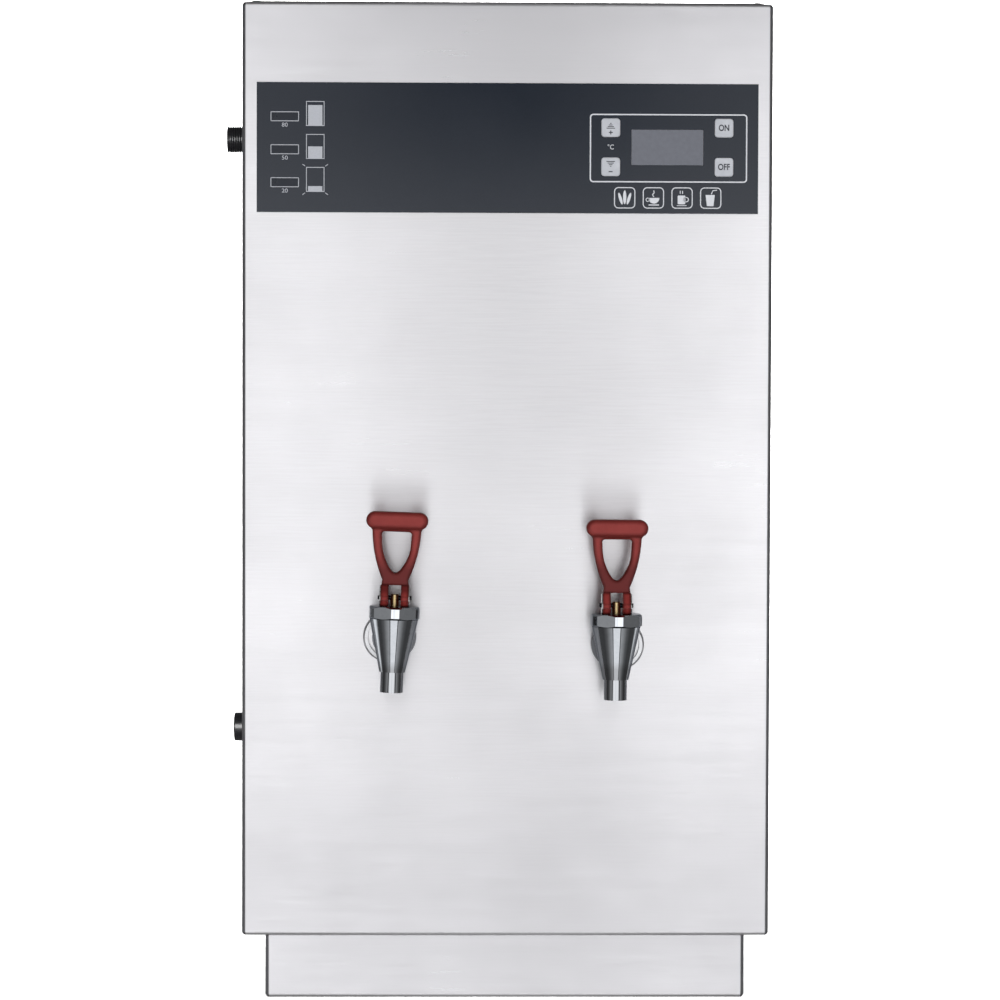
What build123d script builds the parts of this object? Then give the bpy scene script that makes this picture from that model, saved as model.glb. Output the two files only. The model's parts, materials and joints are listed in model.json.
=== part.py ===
"""Counter-top hot water urn: a folded steel cabinet on a recessed plinth, an insulated boiler inside,
two lever taps on the front and a control fascia above them.

Units are millimetres. +X is the user's right, the front faces -Y and +Z is up. The origin is the middle of
the plinth's resting face. Every sub-part is written to parts/NODE.step.
"""
from build123d import *
from math import cos, radians, sin, sqrt
import os

# ------------------------------------------------------------------ cabinet sizes
cabinet_width = 400.0
cabinet_depth = 340.0
cabinet_height = 705.0
sheet = 1.0  # stainless sheet of the shell, cover and rear panel
bend = 3.0  # outside radius of every fold
return_flange = 15.0  # inward flange round the top and the rear of the shell
base_flange = 34.0  # inward flange round the bottom of the shell
floor_sheet = 1.5
cover_inset = 5.0  # the cover and rear panel stop short of the folded edges
cover_rounding = 0.45
running_gap = 0.05  # between a piece and the hole that it is held in
cut_past = 1.0  # how far a cutting shape runs past the face that it cuts
relief = 0.3  # length of the slimmer step beside a shoulder, where a mating piece ends
relief_depth = 0.25  # more than a gauge would take for the same diameter

plinth_height = 50.0
plinth_side_setback = 17.0
plinth_front_setback = 14.0
plinth_sheet = 1.2
plinth_flange = 22.0
plinth_screw_margin = 60.0  # from the cabinet's front and rear to the outer screws
plinth_screw_count = 3
cover_screw_margin = 22.0
cover_screw_count = 3
rear_screw_margin = 35.0
rear_screw_count = 5

louvre_length = 46.0
louvre_height = 4.0
louvre_pitch = 12.0
louvre_rows = 7
louvre_column = 62.0  # from the middle of the rear panel to the middle of a louvre
upper_louvre_drop = 70.0  # from the cabinet's top to the first louvre of the upper bank
lower_louvre_rise = 168.0  # from the cabinet's base to the first louvre of the lower bank

# ------------------------------------------------------------------ fascia sizes
fascia_margin = 11.2  # from the cabinet's sides to the fascia's ends
fascia_height = 97.5
fascia_thickness = 1.0
fascia_drop = 60.4  # from the cabinet's top to the fascia's upper edge
window_clearance = 0.1
lens_recess = 0.1
aperture_lip = 2.0  # the steel behind a window is cut this much smaller all round

keypad_inset = 68.6  # from the fascia's right end to the middle of the display
keypad_drop = 47.8  # from the fascia's upper edge to the middle of the display
key_column_gap = 85.4
key_row_gap = 29.4
key_size = 13.7
key_corner = 2.2
key_travel = 0.5
key_proud = 0.3
key_gap = 0.2
key_stem_radius = 3.0
key_collar_radius = 4.6
key_collar_gap = 0.15
key_collar = 1.0
display_width = 54.0
display_height = 26.6
display_setback = 1.0  # from the shell's inner face to the display and the lamps
window_corner = 0.5

level_inset = 21.1  # from the fascia's left end to the middle of the windows
level_top_drop = 25.6  # from the fascia's upper edge to the middle of the first level window
level_pitch = 24.8
level_count = 3
level_width = 21.3
level_height = 7.3
lamp_width = 14.0
lamp_height = 3.0

board_width = 132.0
board_height = 72.0
board_thickness = 1.6
board_standoff = 12.0
standoff_radius = 3.0
switch_size = 6.0
switch_height = 4.4
board_parts = {  # offset from the keypad's middle in x and z, then width, height and depth
    "relay": (-40.0, -6.0, 20.0, 16.0, 15.0),
    "chip": (0.0, 0.0, 16.0, 16.0, 2.5),
    "transformer": (36.0, 0.0, 28.0, 24.0, 20.0),
}
board_screw_reach = 6.0  # of a board screw into its pillar
switch_gap = 0.1  # left between a pressed key and its switch

# ------------------------------------------------------------------ tap sizes
tap_spacing = 165.4
tap_pair_offset = -2.0
tap_height = 277.2  # shank of the left tap above the counter
right_tap_drop = 5.4
left_tap_lean = 1.9  # degrees, top towards the user's right
right_tap_lean = 0.4
tap_reach = 42.0  # from the panel's face to the axis of the tap's body

bonnet_flats = 36.9
bonnet_corner_radius = 19.8
bonnet_height = 9.5
bonnet_top = 26.0  # above the shank's axis
bonnet_skirt_radius = 14.5
bonnet_skirt_length = 8.3
bonnet_turn = 33.5  # degrees that the hexagon is turned about the stem
bonnet_bevel = 0.6
bonnet_roof = 5.0  # metal left above the spring's room
spring_room = 3.5  # between the spring and the bonnet's wall
body_top_radius = 18.1
body_foot_radius = 9.6
body_foot = -22.8  # z of the cone's lower end, from the shank's axis
spout_radius = 8.4
spout_end = -38.0
spout_bore_radius = 6.0
seat_z = -18.0
cavity_foot_radius = 8.0
cavity_wall = 1.5  # the step that the bonnet's skirt stands on
shank_radius = 10.3
shank_bore_radius = 5.5
shank_tail = 12.0  # threaded length behind the panel
barb_radius = 8.0
barb_length = 12.0
shoulder_radius = 16.6
shoulder_thickness = 3.0
ring_radius = 19.2
ring_bore_radius = 15.4
ring_thickness = 3.5
ring_land = 1.9  # height of the ring's straight side
ring_bevel = 1.4
ring_offset = 4.4  # the loose ring sits this far outboard of its shank
locknut_flats = 28.0
locknut_thickness = 7.0
seal_thickness = 2.0
thread_clearance = 0.1

stem_radius = 3.1
stem_above_pin = 2.8
stem_chamfer = 0.5
pin_height = 6.2  # above the bonnet's top
pin_radius = 1.7
pin_length = 25.2
pin_chamfer = 0.3
cup_radius = 7.3
cup_height = 6.0
cup_lip = 0.4  # the cup narrows by this at mid height
cup_shoulder = 1.8  # and by this at its top
cup_grip = 3.3  # depth of the stem in the cup
press_gap = 0.02
spring_radius = 5.2
spring_wire = 0.5  # radius of the wire
spring_turns = 6
tap_spring_gap = 0.2

handle_height = 70.0  # top of the grip above the bonnet
grip_width = 45.9
grip_height = 12.9
grip_depth = 13.0
arm_depth = 9.0
arm_top_half_width = 18.1
neck_half_width = 9.6
neck_height = 19.5
finger_top = 55.3
finger_foot = 25.0
finger_half_width = 11.1
finger_corner = 2.1
arm_waist_rise = 0.38  # place of the arms' inward curve, as a share of their height
arm_waist_spread = 0.68  # and of the way from the neck's half width to the top's
finger_waist = 0.66  # half width of the finger hole low down, as a share of the top's
finger_waist_rise = 0.28
finger_flare = 0.06  # sideways slope of the finger hole's sides at the top
grip_fillet = 3.6  # where the grip's underside meets the arms
grip_rounding = 2.8
arm_rounding = 1.6
leg_half_width = 10.35
leg_gap = 9.3
leg_rear = 5.5
slot_top = 15.8
stirrup_overlap = 2.0  # the arms reach this far down the legs
handle_tilt = 60.0  # degrees from closed to fully open
stem_lift = 4.0  # rise of the stem at full tilt
cam_gap = 0.05
cam_steps = 6
nose_run = 0.6
nose_rise = 3.0
plate_thickness = 0.8
plate_height = 15.0
plate_setback = 0.6

# ------------------------------------------------------------------ boiler sizes
jacket_front_gap = 25.5  # from the cabinet's front face to the jacket
jacket_rear_gap = 13.5
tank_wall = 1.2
tank_rise = 128.0  # above the cabinet's base
headroom = 197.0  # from the tank's rim to the cabinet's top
rim_width = 14.0
rim_thickness = 2.0
lid_thickness = 2.0
jacket_thickness = 15.0
jacket_gap = 0.5
bolt_radius = 2.5
bolt_clearance = 0.25
bolt_flats = 8.5
bolt_head = 4.0
bolt_tail = 2.0
bolt_floor = 2.0  # boss metal left above the heater's blind holes
tap_stub_reach = 22.0  # the tap stubs end this far behind the front of the jacket
tap_stub_wall = 1.5
jacket_low_gap = 6.0
jacket_high_gap = 14.0
jacket_hole_gap = 1.5
boss_margin = 4.0
lid_bolt_count = 8
heater_port_radius = 34.0
heater_flange_radius = 50.0
heater_flange_thickness = 6.0
heater_boss_height = 9.0
heater_bolt_count = 6
element_radius = 4.0
element_count = 3
element_gap = 26.0  # between the two legs of a hairpin
element_ring = 18.0  # hairpin centre to flange centre
element_height = 150.0
element_tail = 14.0
element_stagger = 12.0  # each hairpin is this much taller than the last
cradle_width = 40.0
cradle_sheet = 2.0
cradle_foot = 30.0
cradle_x = 85.0
cradle_y = 55.0

probe_plug_radius = 12.0
probe_plug_depth = 10.0
probe_plug_collar = 5.0
probe_plug_cap = 10.0
probe_circle = 6.6
probe_rod_radius = 2.0
probe_rod_tail = 8.0
probe_lengths = (60.0, 180.0, 300.0)
sensor_x = 42.0
sensor_radius = 3.0
sensor_length = 240.0
sensor_tail = 12.0
sensor_flats = 14.4
sensor_nut = 5.0

# ------------------------------------------------------------------ water and power connections
inlet_setback = 100.0  # of the inlet and the drain from the cabinet's front
inlet_drop = 94.5  # from the cabinet's top
pipe_thread_radius = 10.478  # G1/2 major radius
pipe_thread_pitch = 1.814
pipe_thread_depth = 1.162
inlet_projection = 18.4
inlet_bore_radius = 7.0
inlet_shoulder_radius = 13.0
inlet_shoulder = 3.0
inlet_chamfer = 0.8
thread_runout = 0.8  # from the side sheet to the first turn
thread_groove = 0.76  # width of a groove at its mouth, as a share of the pitch
valve_plate_width = 48.0
valve_plate_height = 30.0
valve_plate = 4.0
valve_radius = 14.0
valve_length = 46.0
valve_bore_radius = 6.0
valve_tail = 16.0
valve_screw_margin = 5.4  # from the end of the valve's plate to its screws
valve_screw_short = 1.0  # the screws end this far inside the plate
coil_offset = 25.3  # from the valve's plate to the coil's axis
coil_lift = 1.0
coil_corner = 3.0
coil_socket = (15.0, 9.0, 14.0)  # width, reach and height of the coil's plug socket
coil_socket_lift = 6.0
coil_width = 30.0
coil_height = 32.0
core_radius = 5.6
core_wall = 0.8
core_foot = 7.7  # above the valve's axis
core_slack = 1.0
plunger_radius = 4.6
plunger_length = 18.0
plunger_travel = 2.5
solenoid_spring_length = 10.0
valve_spring_radius = 3.4
valve_spring_wire = 0.4
valve_spring_turns = 4
valve_spring_gap = 0.1
hose_wall = 3.0
hose_fit = 0.05
hose_overlap = 10.0  # of a hose over the barb or stub that it is pushed on
fill_hose_bend = 26.0
fill_hose_gap = 3.0  # between the valve's body and the hose
inlet_stub_reach = 0.7  # of the tank's radius
inlet_stub_radius = 7.0
stub_wall = 1.0
stub_height = 30.0

drain_rise = 20.0  # above the tank's base
drain_tube_radius = 8.0
drain_socket_radius = 13.0
drain_socket_length = 24.0
drain_wall = 1.0
drain_intrusion = 8.0  # of the tube into the tank
drain_relief = 4.0  # of the socket beyond the plug
plug_head_radius = 11.3
plug_head_length = 10.9
plug_rounding = 1.4
plug_shank_length = 12.0
plug_seal_thickness = 2.0

overflow_aside = 2 / 3  # of the tank's radius
overflow_behind = 0.4
overflow_radius = 9.0
overflow_wall = 1.0
overflow_rise = 56.0  # above the lid
overflow_projection = 24.0
overflow_bend = 26.0
bead_radius = 10.6  # the rolled bead that stops the pipe at the rear panel
bead_length = 2.0
overflow_foot = 2.0  # of the pipe below the lid's gasket

gland_inset = 80.0  # from the cabinet's side
gland_rise = 42.0  # above the cabinet's base
gland_thread_radius = 10.0
gland_thread_length = 12.0
gland_hex = 27.0
gland_hex_thickness = 5.0
gland_nut_hex = 25.0
gland_nut_gap = 0.5
gland_dome_radius = 12.8
gland_dome_side = 12.0
gland_dome_shoulder = 3.0
gland_dome_end = 1.5
gland_dome_step = 1.3
gland_dome_mouth = 9.0
gland_bore_radius = 6.5
earth_inset = 35.0
earth_radius = 3.0
earth_length = 16.0
earth_head_radius = 6.0
earth_head = 3.0
earth_nut_flats = 10.0
earth_nut = 5.0
cutout_inset = 140.0
cutout_rise = 46.0
cutout_radius = 15.0
cutout_depth = 26.0
cutout_gap = 3.0  # between the cut-out and the rear panel
cutout_wall = 10.0  # of the cut-out behind its button
bracket_half_width = 12.0
bracket_sheet = 2.0
bracket_foot = 18.0
button_radius = 3.0
button_rounding = 0.8
button_slack = 0.5
button_proud = 4.0
button_travel = 1.5

block_setback = 60.0  # from the cabinet's rear
block_half_width = 32.0
block_half_depth = 11.0
block_height = 24.0
block_ways = 5
block_hole_radius = 3.2
block_hole_depth = 5.0
contactor_inset = 80.0
contactor_gap = 1.0  # between the contactor and the tank's cradle
contactor_half_width = 23.0
contactor_half_depth = 30.0
contactor_height = 62.0
rail_height = 7.5
rail_half_length = 45.0
rail_half_depth = 17.5
pole_pitch = 14.0
pole_row = 22.0  # from the contactor's middle to each row of terminals
pole_radius = 3.2
pole_depth = 10.0
lead_radius = 1.8
feed_radius = 2.6
harness_radius = 2.8
lead_step = 7.0  # the heater leads run one above the other
harness_inset = 22.0  # from the side and rear sheets to the harness
harness_drop = 26.0  # below the cover

screw_radius = 1.95
screw_length = 8.0
screw_head_radius = 3.8
screw_head_height = 2.4
screw_head_rounding = 1.4
hole_clearance = 0.2

# ------------------------------------------------------------------ places worked out from the sizes
front_y = -cabinet_depth / 2
rear_y = cabinet_depth / 2
left_x = -cabinet_width / 2
base_z = plinth_height
top_z = base_z + cabinet_height
inner_front_y = front_y + sheet
inner_left_x = left_x + sheet
inner_bend = bend - sheet
floor_top = base_z + sheet + floor_sheet

fascia_width = cabinet_width - 2 * fascia_margin
keypad_x = fascia_width / 2 - keypad_inset
level_x = level_inset - fascia_width / 2
fascia_top = top_z - fascia_drop
keypad_z = fascia_top - keypad_drop
level_zs = [fascia_top - level_top_drop - i * level_pitch for i in range(level_count)]
key_places = {
    "key_plus": (keypad_x - key_column_gap / 2, keypad_z + key_row_gap / 2),
    "key_minus": (keypad_x - key_column_gap / 2, keypad_z - key_row_gap / 2),
    "key_on": (keypad_x + key_column_gap / 2, keypad_z + key_row_gap / 2),
    "key_off": (keypad_x + key_column_gap / 2, keypad_z - key_row_gap / 2),
}
board_front_y = inner_front_y + board_standoff
board_back_y = board_front_y + board_thickness

tap_centres = {
    "left": (tap_pair_offset - tap_spacing / 2, tap_height, left_tap_lean, -1),
    "right": (tap_pair_offset + tap_spacing / 2, tap_height - right_tap_drop, right_tap_lean, 1),
}
bonnet_base = bonnet_top - bonnet_height
pin_z = bonnet_top + pin_height
cam_rate = stem_lift / radians(handle_tilt)  # lift in millimetres per radian of tilt

jacket_radius = (cabinet_depth - jacket_front_gap - jacket_rear_gap) / 2
tank_radius = jacket_radius - jacket_thickness - jacket_gap
tank_y = (jacket_front_gap - jacket_rear_gap) / 2
tank_base = base_z + tank_rise
tank_top = top_z - headroom
lid_base = tank_top + seal_thickness
lid_top = lid_base + lid_thickness
rim_radius = tank_radius + rim_width
lid_bolt_circle = tank_radius + rim_width / 2
heater_gasket_base = tank_base - seal_thickness
heater_flange_base = heater_gasket_base - heater_flange_thickness
heater_bolt_circle = (heater_port_radius + heater_flange_radius) / 2
plug_shank_radius = pipe_thread_radius - thread_clearance
tank_place = Pos(0, tank_y, 0)
tap_stub_front = tank_y - jacket_radius + tap_stub_reach
spring_roof = bonnet_top - bonnet_roof
skirt_foot = bonnet_base - bonnet_skirt_length
lamp_middle = (level_zs[0] + level_zs[-1]) / 2
lamp_reach = level_pitch * level_count / 2  # from the middle of the lamp board to its pillars
inlet_y = front_y + inlet_setback
inlet_height = top_z - inlet_drop
inlet_stub_x = -inlet_stub_reach * tank_radius
drain_height = tank_base + drain_rise
overflow_x = overflow_aside * tank_radius
overflow_y = tank_y + overflow_behind * tank_radius
overflow_height = lid_base + overflow_rise
valve_face_x = inner_left_x + seal_thickness + valve_plate
valve_mid_x = valve_face_x + coil_offset
valve_end_x = valve_face_x + valve_length
core_base = inlet_height + core_foot
core_top = core_base + plunger_length + plunger_travel + solenoid_spring_length + core_slack
coil_base = inlet_height + valve_radius + coil_lift
gland_height = base_z + gland_rise
gland_x = cabinet_width / 2 - gland_inset
earth_x = cabinet_width / 2 - earth_inset
cutout_x = cabinet_width / 2 - cutout_inset
cutout_height = base_z + cutout_rise
block_x = gland_x
block_y = rear_y - block_setback
contactor_x = left_x + contactor_inset
contactor_y = tank_y + cradle_y + cradle_width / 2 + contactor_gap + contactor_half_depth
contactor_top = floor_top + contactor_height


# ------------------------------------------------------------------ shared shapes
def slab(x0, x1, y0, y1, z0, z1):
    """A block between six planes."""
    return Pos((x0 + x1) / 2, (y0 + y1) / 2, (z0 + z1) / 2) * Box(x1 - x0, y1 - y0, z1 - z0)


def rod_x(radius, x0, x1, y, z):
    """A round bar along X."""
    return Pos((x0 + x1) / 2, y, z) * Rot(0, 90, 0) * Cylinder(radius, x1 - x0)


def rod_y(radius, y0, y1, x, z):
    """A round bar along Y."""
    return Pos(x, (y0 + y1) / 2, z) * Rot(90, 0, 0) * Cylinder(radius, y1 - y0)


def rod_z(radius, z0, z1, x=0.0, y=0.0):
    """A round bar along Z."""
    return Pos(x, y, (z0 + z1) / 2) * Cylinder(radius, z1 - z0)


def lathe(*outline):
    """A solid turned about Z from points of (radius, height)."""
    return revolve(Plane.XZ * make_face(Polyline(*outline, close=True)), Axis.Z)


def hexagon(flats, height):
    """A hexagon prism that stands on the origin, by its size across flats."""
    return extrude(RegularPolygon(flats / 2, 6, major_radius=False), height)


def pipe(points, radius, corner, bore=0.0):
    """A round bar or hose along straight runs joined by arcs."""
    path = FilletPolyline(*points, radius=corner)
    start = Plane(origin=path @ 0, z_dir=path % 0)
    solid = sweep(start * Circle(radius), path)
    if bore:
        solid -= sweep(start * Circle(bore), path)
    return solid


def coil_spring(radius, wire, z0, z1, turns):
    """A round-wire spring about Z that fits between two planes."""
    climb = z1 - z0 - 2 * wire
    path = Helix(pitch=climb / turns, height=climb, radius=radius)
    section = Plane(origin=path @ 0, z_dir=path % 0) * Circle(wire)
    return Pos(0, 0, z0 + wire) * sweep(section, path, is_frenet=True)


def folded_box(width, depth, height, thickness, radius):
    """A closed box of folded sheet, centred on the origin."""
    outer = Box(width, depth, height)
    inner = Box(width - 2 * thickness, depth - 2 * thickness, height - 2 * thickness)
    return fillet(outer.edges(), radius) - fillet(inner.edges(), radius - thickness)


def rounded_plate(width, height, corner, y0, y1, x, z):
    """An upright plate with rounded corners, seen from the front."""
    outline = Plane.XZ * Pos(x, z) * RectangleRounded(width, height, corner)
    return Pos(0, y1, 0) * extrude(outline, y1 - y0)


def screw(length=screw_length):
    """A pan-head screw that points down -Z, with the underside of its head at the origin."""
    head = extrude(Circle(screw_head_radius), screw_head_height)
    head = fillet(head.edges().group_by(Axis.Z)[-1], screw_head_rounding)
    return head + rod_z(screw_radius, -length, 0)


def bolt(length):
    """A hexagon-head bolt that points down -Z, with the underside of its head at the origin."""
    return hexagon(bolt_flats, bolt_head) + rod_z(bolt_radius, -length, 0)


def spaced(low, high, count):
    """Evenly spaced values from low to high."""
    return [low + (high - low) * i / (count - 1) for i in range(count)]


# ------------------------------------------------------------------ screw places
cover_half_width = cabinet_width / 2 - cover_inset
cover_front = front_y + cover_inset
cover_rear = rear_y - sheet
flange_line = cabinet_width / 2 - (return_flange + cover_inset) / 2
cover_rows = spaced(front_y + cover_screw_margin, rear_y - cover_screw_margin, cover_screw_count)
cover_screws = [(side * flange_line, y) for side in (-1, 1) for y in cover_rows]
rear_rows = spaced(base_z + rear_screw_margin, top_z - rear_screw_margin, rear_screw_count)
rear_screws = [(side * flange_line, z) for side in (-1, 1) for z in rear_rows]
plinth_half_width = cabinet_width / 2 - plinth_side_setback
plinth_half_depth = cabinet_depth / 2 - plinth_front_setback
base_line = (plinth_half_width + cabinet_width / 2 - base_flange) / 2
plinth_rows = spaced(front_y + plinth_screw_margin, rear_y - plinth_screw_margin, plinth_screw_count)
plinth_screws = [(side * base_line, y) for side in (-1, 1) for y in plinth_rows]
board_half_width = board_width / 2 - 2 * standoff_radius
board_half_height = board_height / 2 - 2 * standoff_radius
standoff_places = [
    (keypad_x + i * board_half_width, keypad_z + j * board_half_height) for i in (-1, 1) for j in (-1, 1)
]
valve_screw_reach = valve_plate_width / 2 - valve_screw_margin
valve_screws = [inlet_y + side * valve_screw_reach for side in (-1, 1)]


# ------------------------------------------------------------------ casing
def front_shell():
    """One sheet wraps the front and both sides, with return flanges at the top, rear and bottom."""
    shell = Pos(0, 0, base_z + cabinet_height / 2) * folded_box(
        cabinet_width, cabinet_depth, cabinet_height, sheet, bend
    )
    half = cabinet_width / 2 - return_flange
    base_half = cabinet_width / 2 - base_flange
    over = 2 * bend
    shell -= slab(-half, half, front_y + return_flange, rear_y + over, top_z - over, top_z + over)
    shell -= slab(-half, half, rear_y - over, rear_y + over, base_z - over, top_z + over)
    base_front = front_y + base_flange
    shell -= slab(-base_half, base_half, base_front, rear_y - base_flange, base_z - over, base_z + over)
    for x, y in cover_screws:
        shell -= rod_z(screw_radius + hole_clearance / 2, top_z - over, top_z + over, x, y)
    for x, z in rear_screws:
        shell -= rod_y(screw_radius + hole_clearance / 2, rear_y - over, rear_y + over, x, z)
    for x, y in plinth_screws:
        shell -= rod_z(screw_radius + hole_clearance / 2, base_z - over, base_z + over, x, y)
    through = (front_y - over, front_y + over)
    for x, z, _, _ in tap_centres.values():
        shell -= rod_y(shank_radius + 2 * hole_clearance, *through, x, z)
    for x, z in key_places.values():
        shell -= rod_y(key_stem_radius + 2 * hole_clearance, *through, x, z)
    shell -= slab(
        keypad_x - display_width / 2 + aperture_lip,
        keypad_x + display_width / 2 - aperture_lip,
        *through,
        keypad_z - display_height / 2 + aperture_lip,
        keypad_z + display_height / 2 - aperture_lip,
    )
    for z in level_zs:
        shell -= slab(
            level_x - level_width / 2 + aperture_lip,
            level_x + level_width / 2 - aperture_lip,
            *through,
            z - level_height / 2 + aperture_lip,
            z + level_height / 2 - aperture_lip,
        )
    side = (left_x - over, left_x + over)
    shell -= rod_x(pipe_thread_radius + hole_clearance, *side, inlet_y, inlet_height)
    shell -= rod_x(drain_socket_radius + hole_clearance, *side, inlet_y, drain_height)
    for y in valve_screws:
        shell -= rod_x(screw_radius + hole_clearance / 2, *side, y, inlet_height)
    return shell


def top_cover():
    """A flat lid that lies on the shell's upper flanges."""
    depth = cover_rear - cover_front
    plate = extrude(RectangleRounded(2 * cover_half_width, depth, 2 * bend), sheet)
    plate = fillet(plate.edges().group_by(Axis.Z)[-1], cover_rounding)
    cover = Pos(0, (cover_front + cover_rear) / 2, top_z) * plate
    for x, y in cover_screws:
        cover -= rod_z(screw_radius + hole_clearance, top_z - bend, top_z + bend, x, y)
    return cover


def rear_panel():
    """The removable back, with two banks of vent slots and the holes for the services."""
    z0 = base_z + cover_inset
    z1 = top_z - cover_inset
    panel = rounded_plate(2 * cover_half_width, z1 - z0, bend, rear_y, rear_y + sheet, 0, (z0 + z1) / 2)
    cut = (rear_y - sheet, rear_y + 2 * sheet)
    banks = (top_z - upper_louvre_drop, base_z + lower_louvre_rise)
    for first in banks:
        for row in range(louvre_rows):
            z = first - row * louvre_pitch
            for side in (-1, 1):
                vent = Plane.XZ * Pos(side * louvre_column, z) * SlotOverall(louvre_length, louvre_height)
                panel -= Pos(0, cut[1], 0) * extrude(vent, cut[1] - cut[0])
    for x, z in rear_screws:
        panel -= rod_y(screw_radius + hole_clearance, *cut, x, z)
    panel -= rod_y(gland_thread_radius + hole_clearance, *cut, gland_x, gland_height)
    panel -= rod_y(earth_radius + hole_clearance, *cut, earth_x, gland_height)
    panel -= rod_y(button_radius + 2 * hole_clearance, *cut, cutout_x, cutout_height)
    panel -= rod_y(overflow_radius + 2 * hole_clearance, *cut, overflow_x, overflow_height)
    return panel


def cabinet_floor():
    """The pan that carries the boiler, lying on the shell's lower flanges."""
    half_width = cabinet_width / 2 - sheet - inner_bend - hole_clearance
    half_depth = cabinet_depth / 2 - sheet - inner_bend - hole_clearance
    floor = slab(-half_width, half_width, -half_depth, half_depth, base_z + sheet, floor_top)
    for x, y in plinth_screws:
        floor -= rod_z(screw_radius + hole_clearance / 2, base_z, floor_top + sheet, x, y)
    return floor


def plinth():
    """The recessed base: a folded skirt with flanges above and below."""
    box = Pos(0, 0, plinth_height / 2) * folded_box(
        2 * plinth_half_width, 2 * plinth_half_depth, plinth_height, plinth_sheet, bend
    )
    box -= Pos(0, 0, plinth_height / 2) * Box(
        2 * (plinth_half_width - plinth_flange), 2 * (plinth_half_depth - plinth_flange), 2 * plinth_height
    )
    below = plinth_height - 2 * plinth_sheet
    for x, y in plinth_screws:
        box -= rod_z(screw_radius + hole_clearance, below, plinth_height + cut_past, x, y)
    return box


def machine_screws():
    """Every casing screw, the control board's screws and the two that hold the inlet valve."""
    board_screw = screw(board_thickness + board_screw_reach)
    valve_screw = screw(sheet + valve_plate - valve_screw_short)
    screws = [Pos(x, y, top_z + sheet) * screw() for x, y in cover_screws]
    screws += [Pos(x, rear_y + sheet, z) * Rot(-90, 0, 0) * screw() for x, z in rear_screws]
    screws += [Pos(x, y, base_z - plinth_sheet) * Rot(180, 0, 0) * screw() for x, y in plinth_screws]
    screws += [Pos(x, board_back_y, z) * Rot(-90, 0, 0) * board_screw for x, z in standoff_places]
    screws += [Pos(left_x, y, inlet_height) * Rot(0, -90, 0) * valve_screw for y in valve_screws]
    return Compound(children=screws)


# ------------------------------------------------------------------ fascia and keys
def control_fascia():
    """The printed plate across the top of the front."""
    plate = slab(
        -fascia_width / 2, fascia_width / 2, front_y - fascia_thickness, front_y,
        fascia_top - fascia_height, fascia_top,
    )
    cut = (front_y - 2 * fascia_thickness, front_y + fascia_thickness)
    hole = key_size + 2 * key_gap
    for x, z in key_places.values():
        plate -= rounded_plate(hole, hole, key_corner + key_gap, *cut, x, z)
    plate -= rounded_plate(display_width, display_height, window_corner, *cut, keypad_x, keypad_z)
    for z in level_zs:
        plate -= rounded_plate(level_width, level_height, window_corner, *cut, level_x, z)
    return plate


def lens(width, height, x, z):
    """A clear window that fills its opening in the fascia, just below the surface."""
    return rounded_plate(
        width - 2 * window_clearance, height - 2 * window_clearance, window_corner - window_clearance,
        front_y - fascia_thickness + lens_recess, front_y, x, z,
    )


def level_windows():
    """The three windows that light up as the boiler fills."""
    return Compound(children=[lens(level_width, level_height, level_x, z) for z in level_zs])


def key(x, z):
    """A key cap with the stem that reaches back to its switch; the collar inside the shell keeps it in."""
    back = front_y - key_travel - running_gap
    stem_end = board_front_y - switch_height - key_travel - switch_gap
    collar_front = inner_front_y + key_collar_gap
    cap = rounded_plate(key_size, key_size, key_corner, front_y - fascia_thickness - key_proud, back, x, z)
    stem = rod_y(key_stem_radius, back, stem_end, x, z)
    return cap + stem + rod_y(key_collar_radius, collar_front, collar_front + key_collar, x, z)


def control_board():
    """The control circuit board with its four tactile switches, relay, chip and transformer."""
    board = slab(
        keypad_x - board_width / 2, keypad_x + board_width / 2, board_front_y, board_back_y,
        keypad_z - board_height / 2, keypad_z + board_height / 2,
    )
    hole = screw_radius + hole_clearance
    for x, z in standoff_places:
        board -= rod_y(hole, board_front_y - cut_past, board_back_y + cut_past, x, z)
    solids = [board]
    half = switch_size / 2
    switch_front = board_front_y - switch_height
    for x, z in key_places.values():
        solids.append(slab(x - half, x + half, switch_front, board_front_y, z - half, z + half))
    for x, z, width, height, depth in board_parts.values():
        part = Box(width, depth, height)
        solids.append(Pos(keypad_x + x, board_back_y + depth / 2, keypad_z + z) * part)
    return Compound(children=solids)


def display_module():
    """The digit display that fills the window from behind."""
    return slab(
        keypad_x - display_width / 2, keypad_x + display_width / 2,
        inner_front_y + display_setback, board_front_y,
        keypad_z - display_height / 2, keypad_z + display_height / 2,
    )


def board_standoffs():
    """Threaded pillars on the back of the front sheet that carry the control board and the lamp board."""
    pillars = []
    blind = board_front_y - board_screw_reach - window_corner
    for x, z in standoff_places:
        pillar = rod_y(standoff_radius, inner_front_y, board_front_y, x, z)
        pillar -= rod_y(screw_radius + running_gap, blind, board_front_y + cut_past, x, z)
        pillars.append(pillar)
    for z in (lamp_middle - lamp_reach, lamp_middle + lamp_reach):
        pillars.append(rod_y(standoff_radius, inner_front_y, board_front_y, level_x, z))
    return Compound(children=pillars)


def lamp_board():
    """The narrow board that lights the three level windows."""
    reach = lamp_reach + 2 * standoff_radius
    lamp_front = inner_front_y + display_setback
    solids = [
        slab(
            level_x - level_width / 2, level_x + level_width / 2, board_front_y, board_back_y,
            lamp_middle - reach, lamp_middle + reach,
        )
    ]
    for z in level_zs:
        lamp = Box(lamp_width, board_front_y - lamp_front, lamp_height)
        solids.append(Pos(level_x, (lamp_front + board_front_y) / 2, z) * lamp)
    return Compound(children=solids)


# ------------------------------------------------------------------ taps, built about the body's axis
def tap_place(side):
    """Where a tap stands: its body's axis in front of its shank, leaning by a degree or two."""
    x, z, lean, _ = tap_centres[side]
    return Pos(x, front_y - tap_reach, z) * Rot(0, lean, 0)


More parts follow.
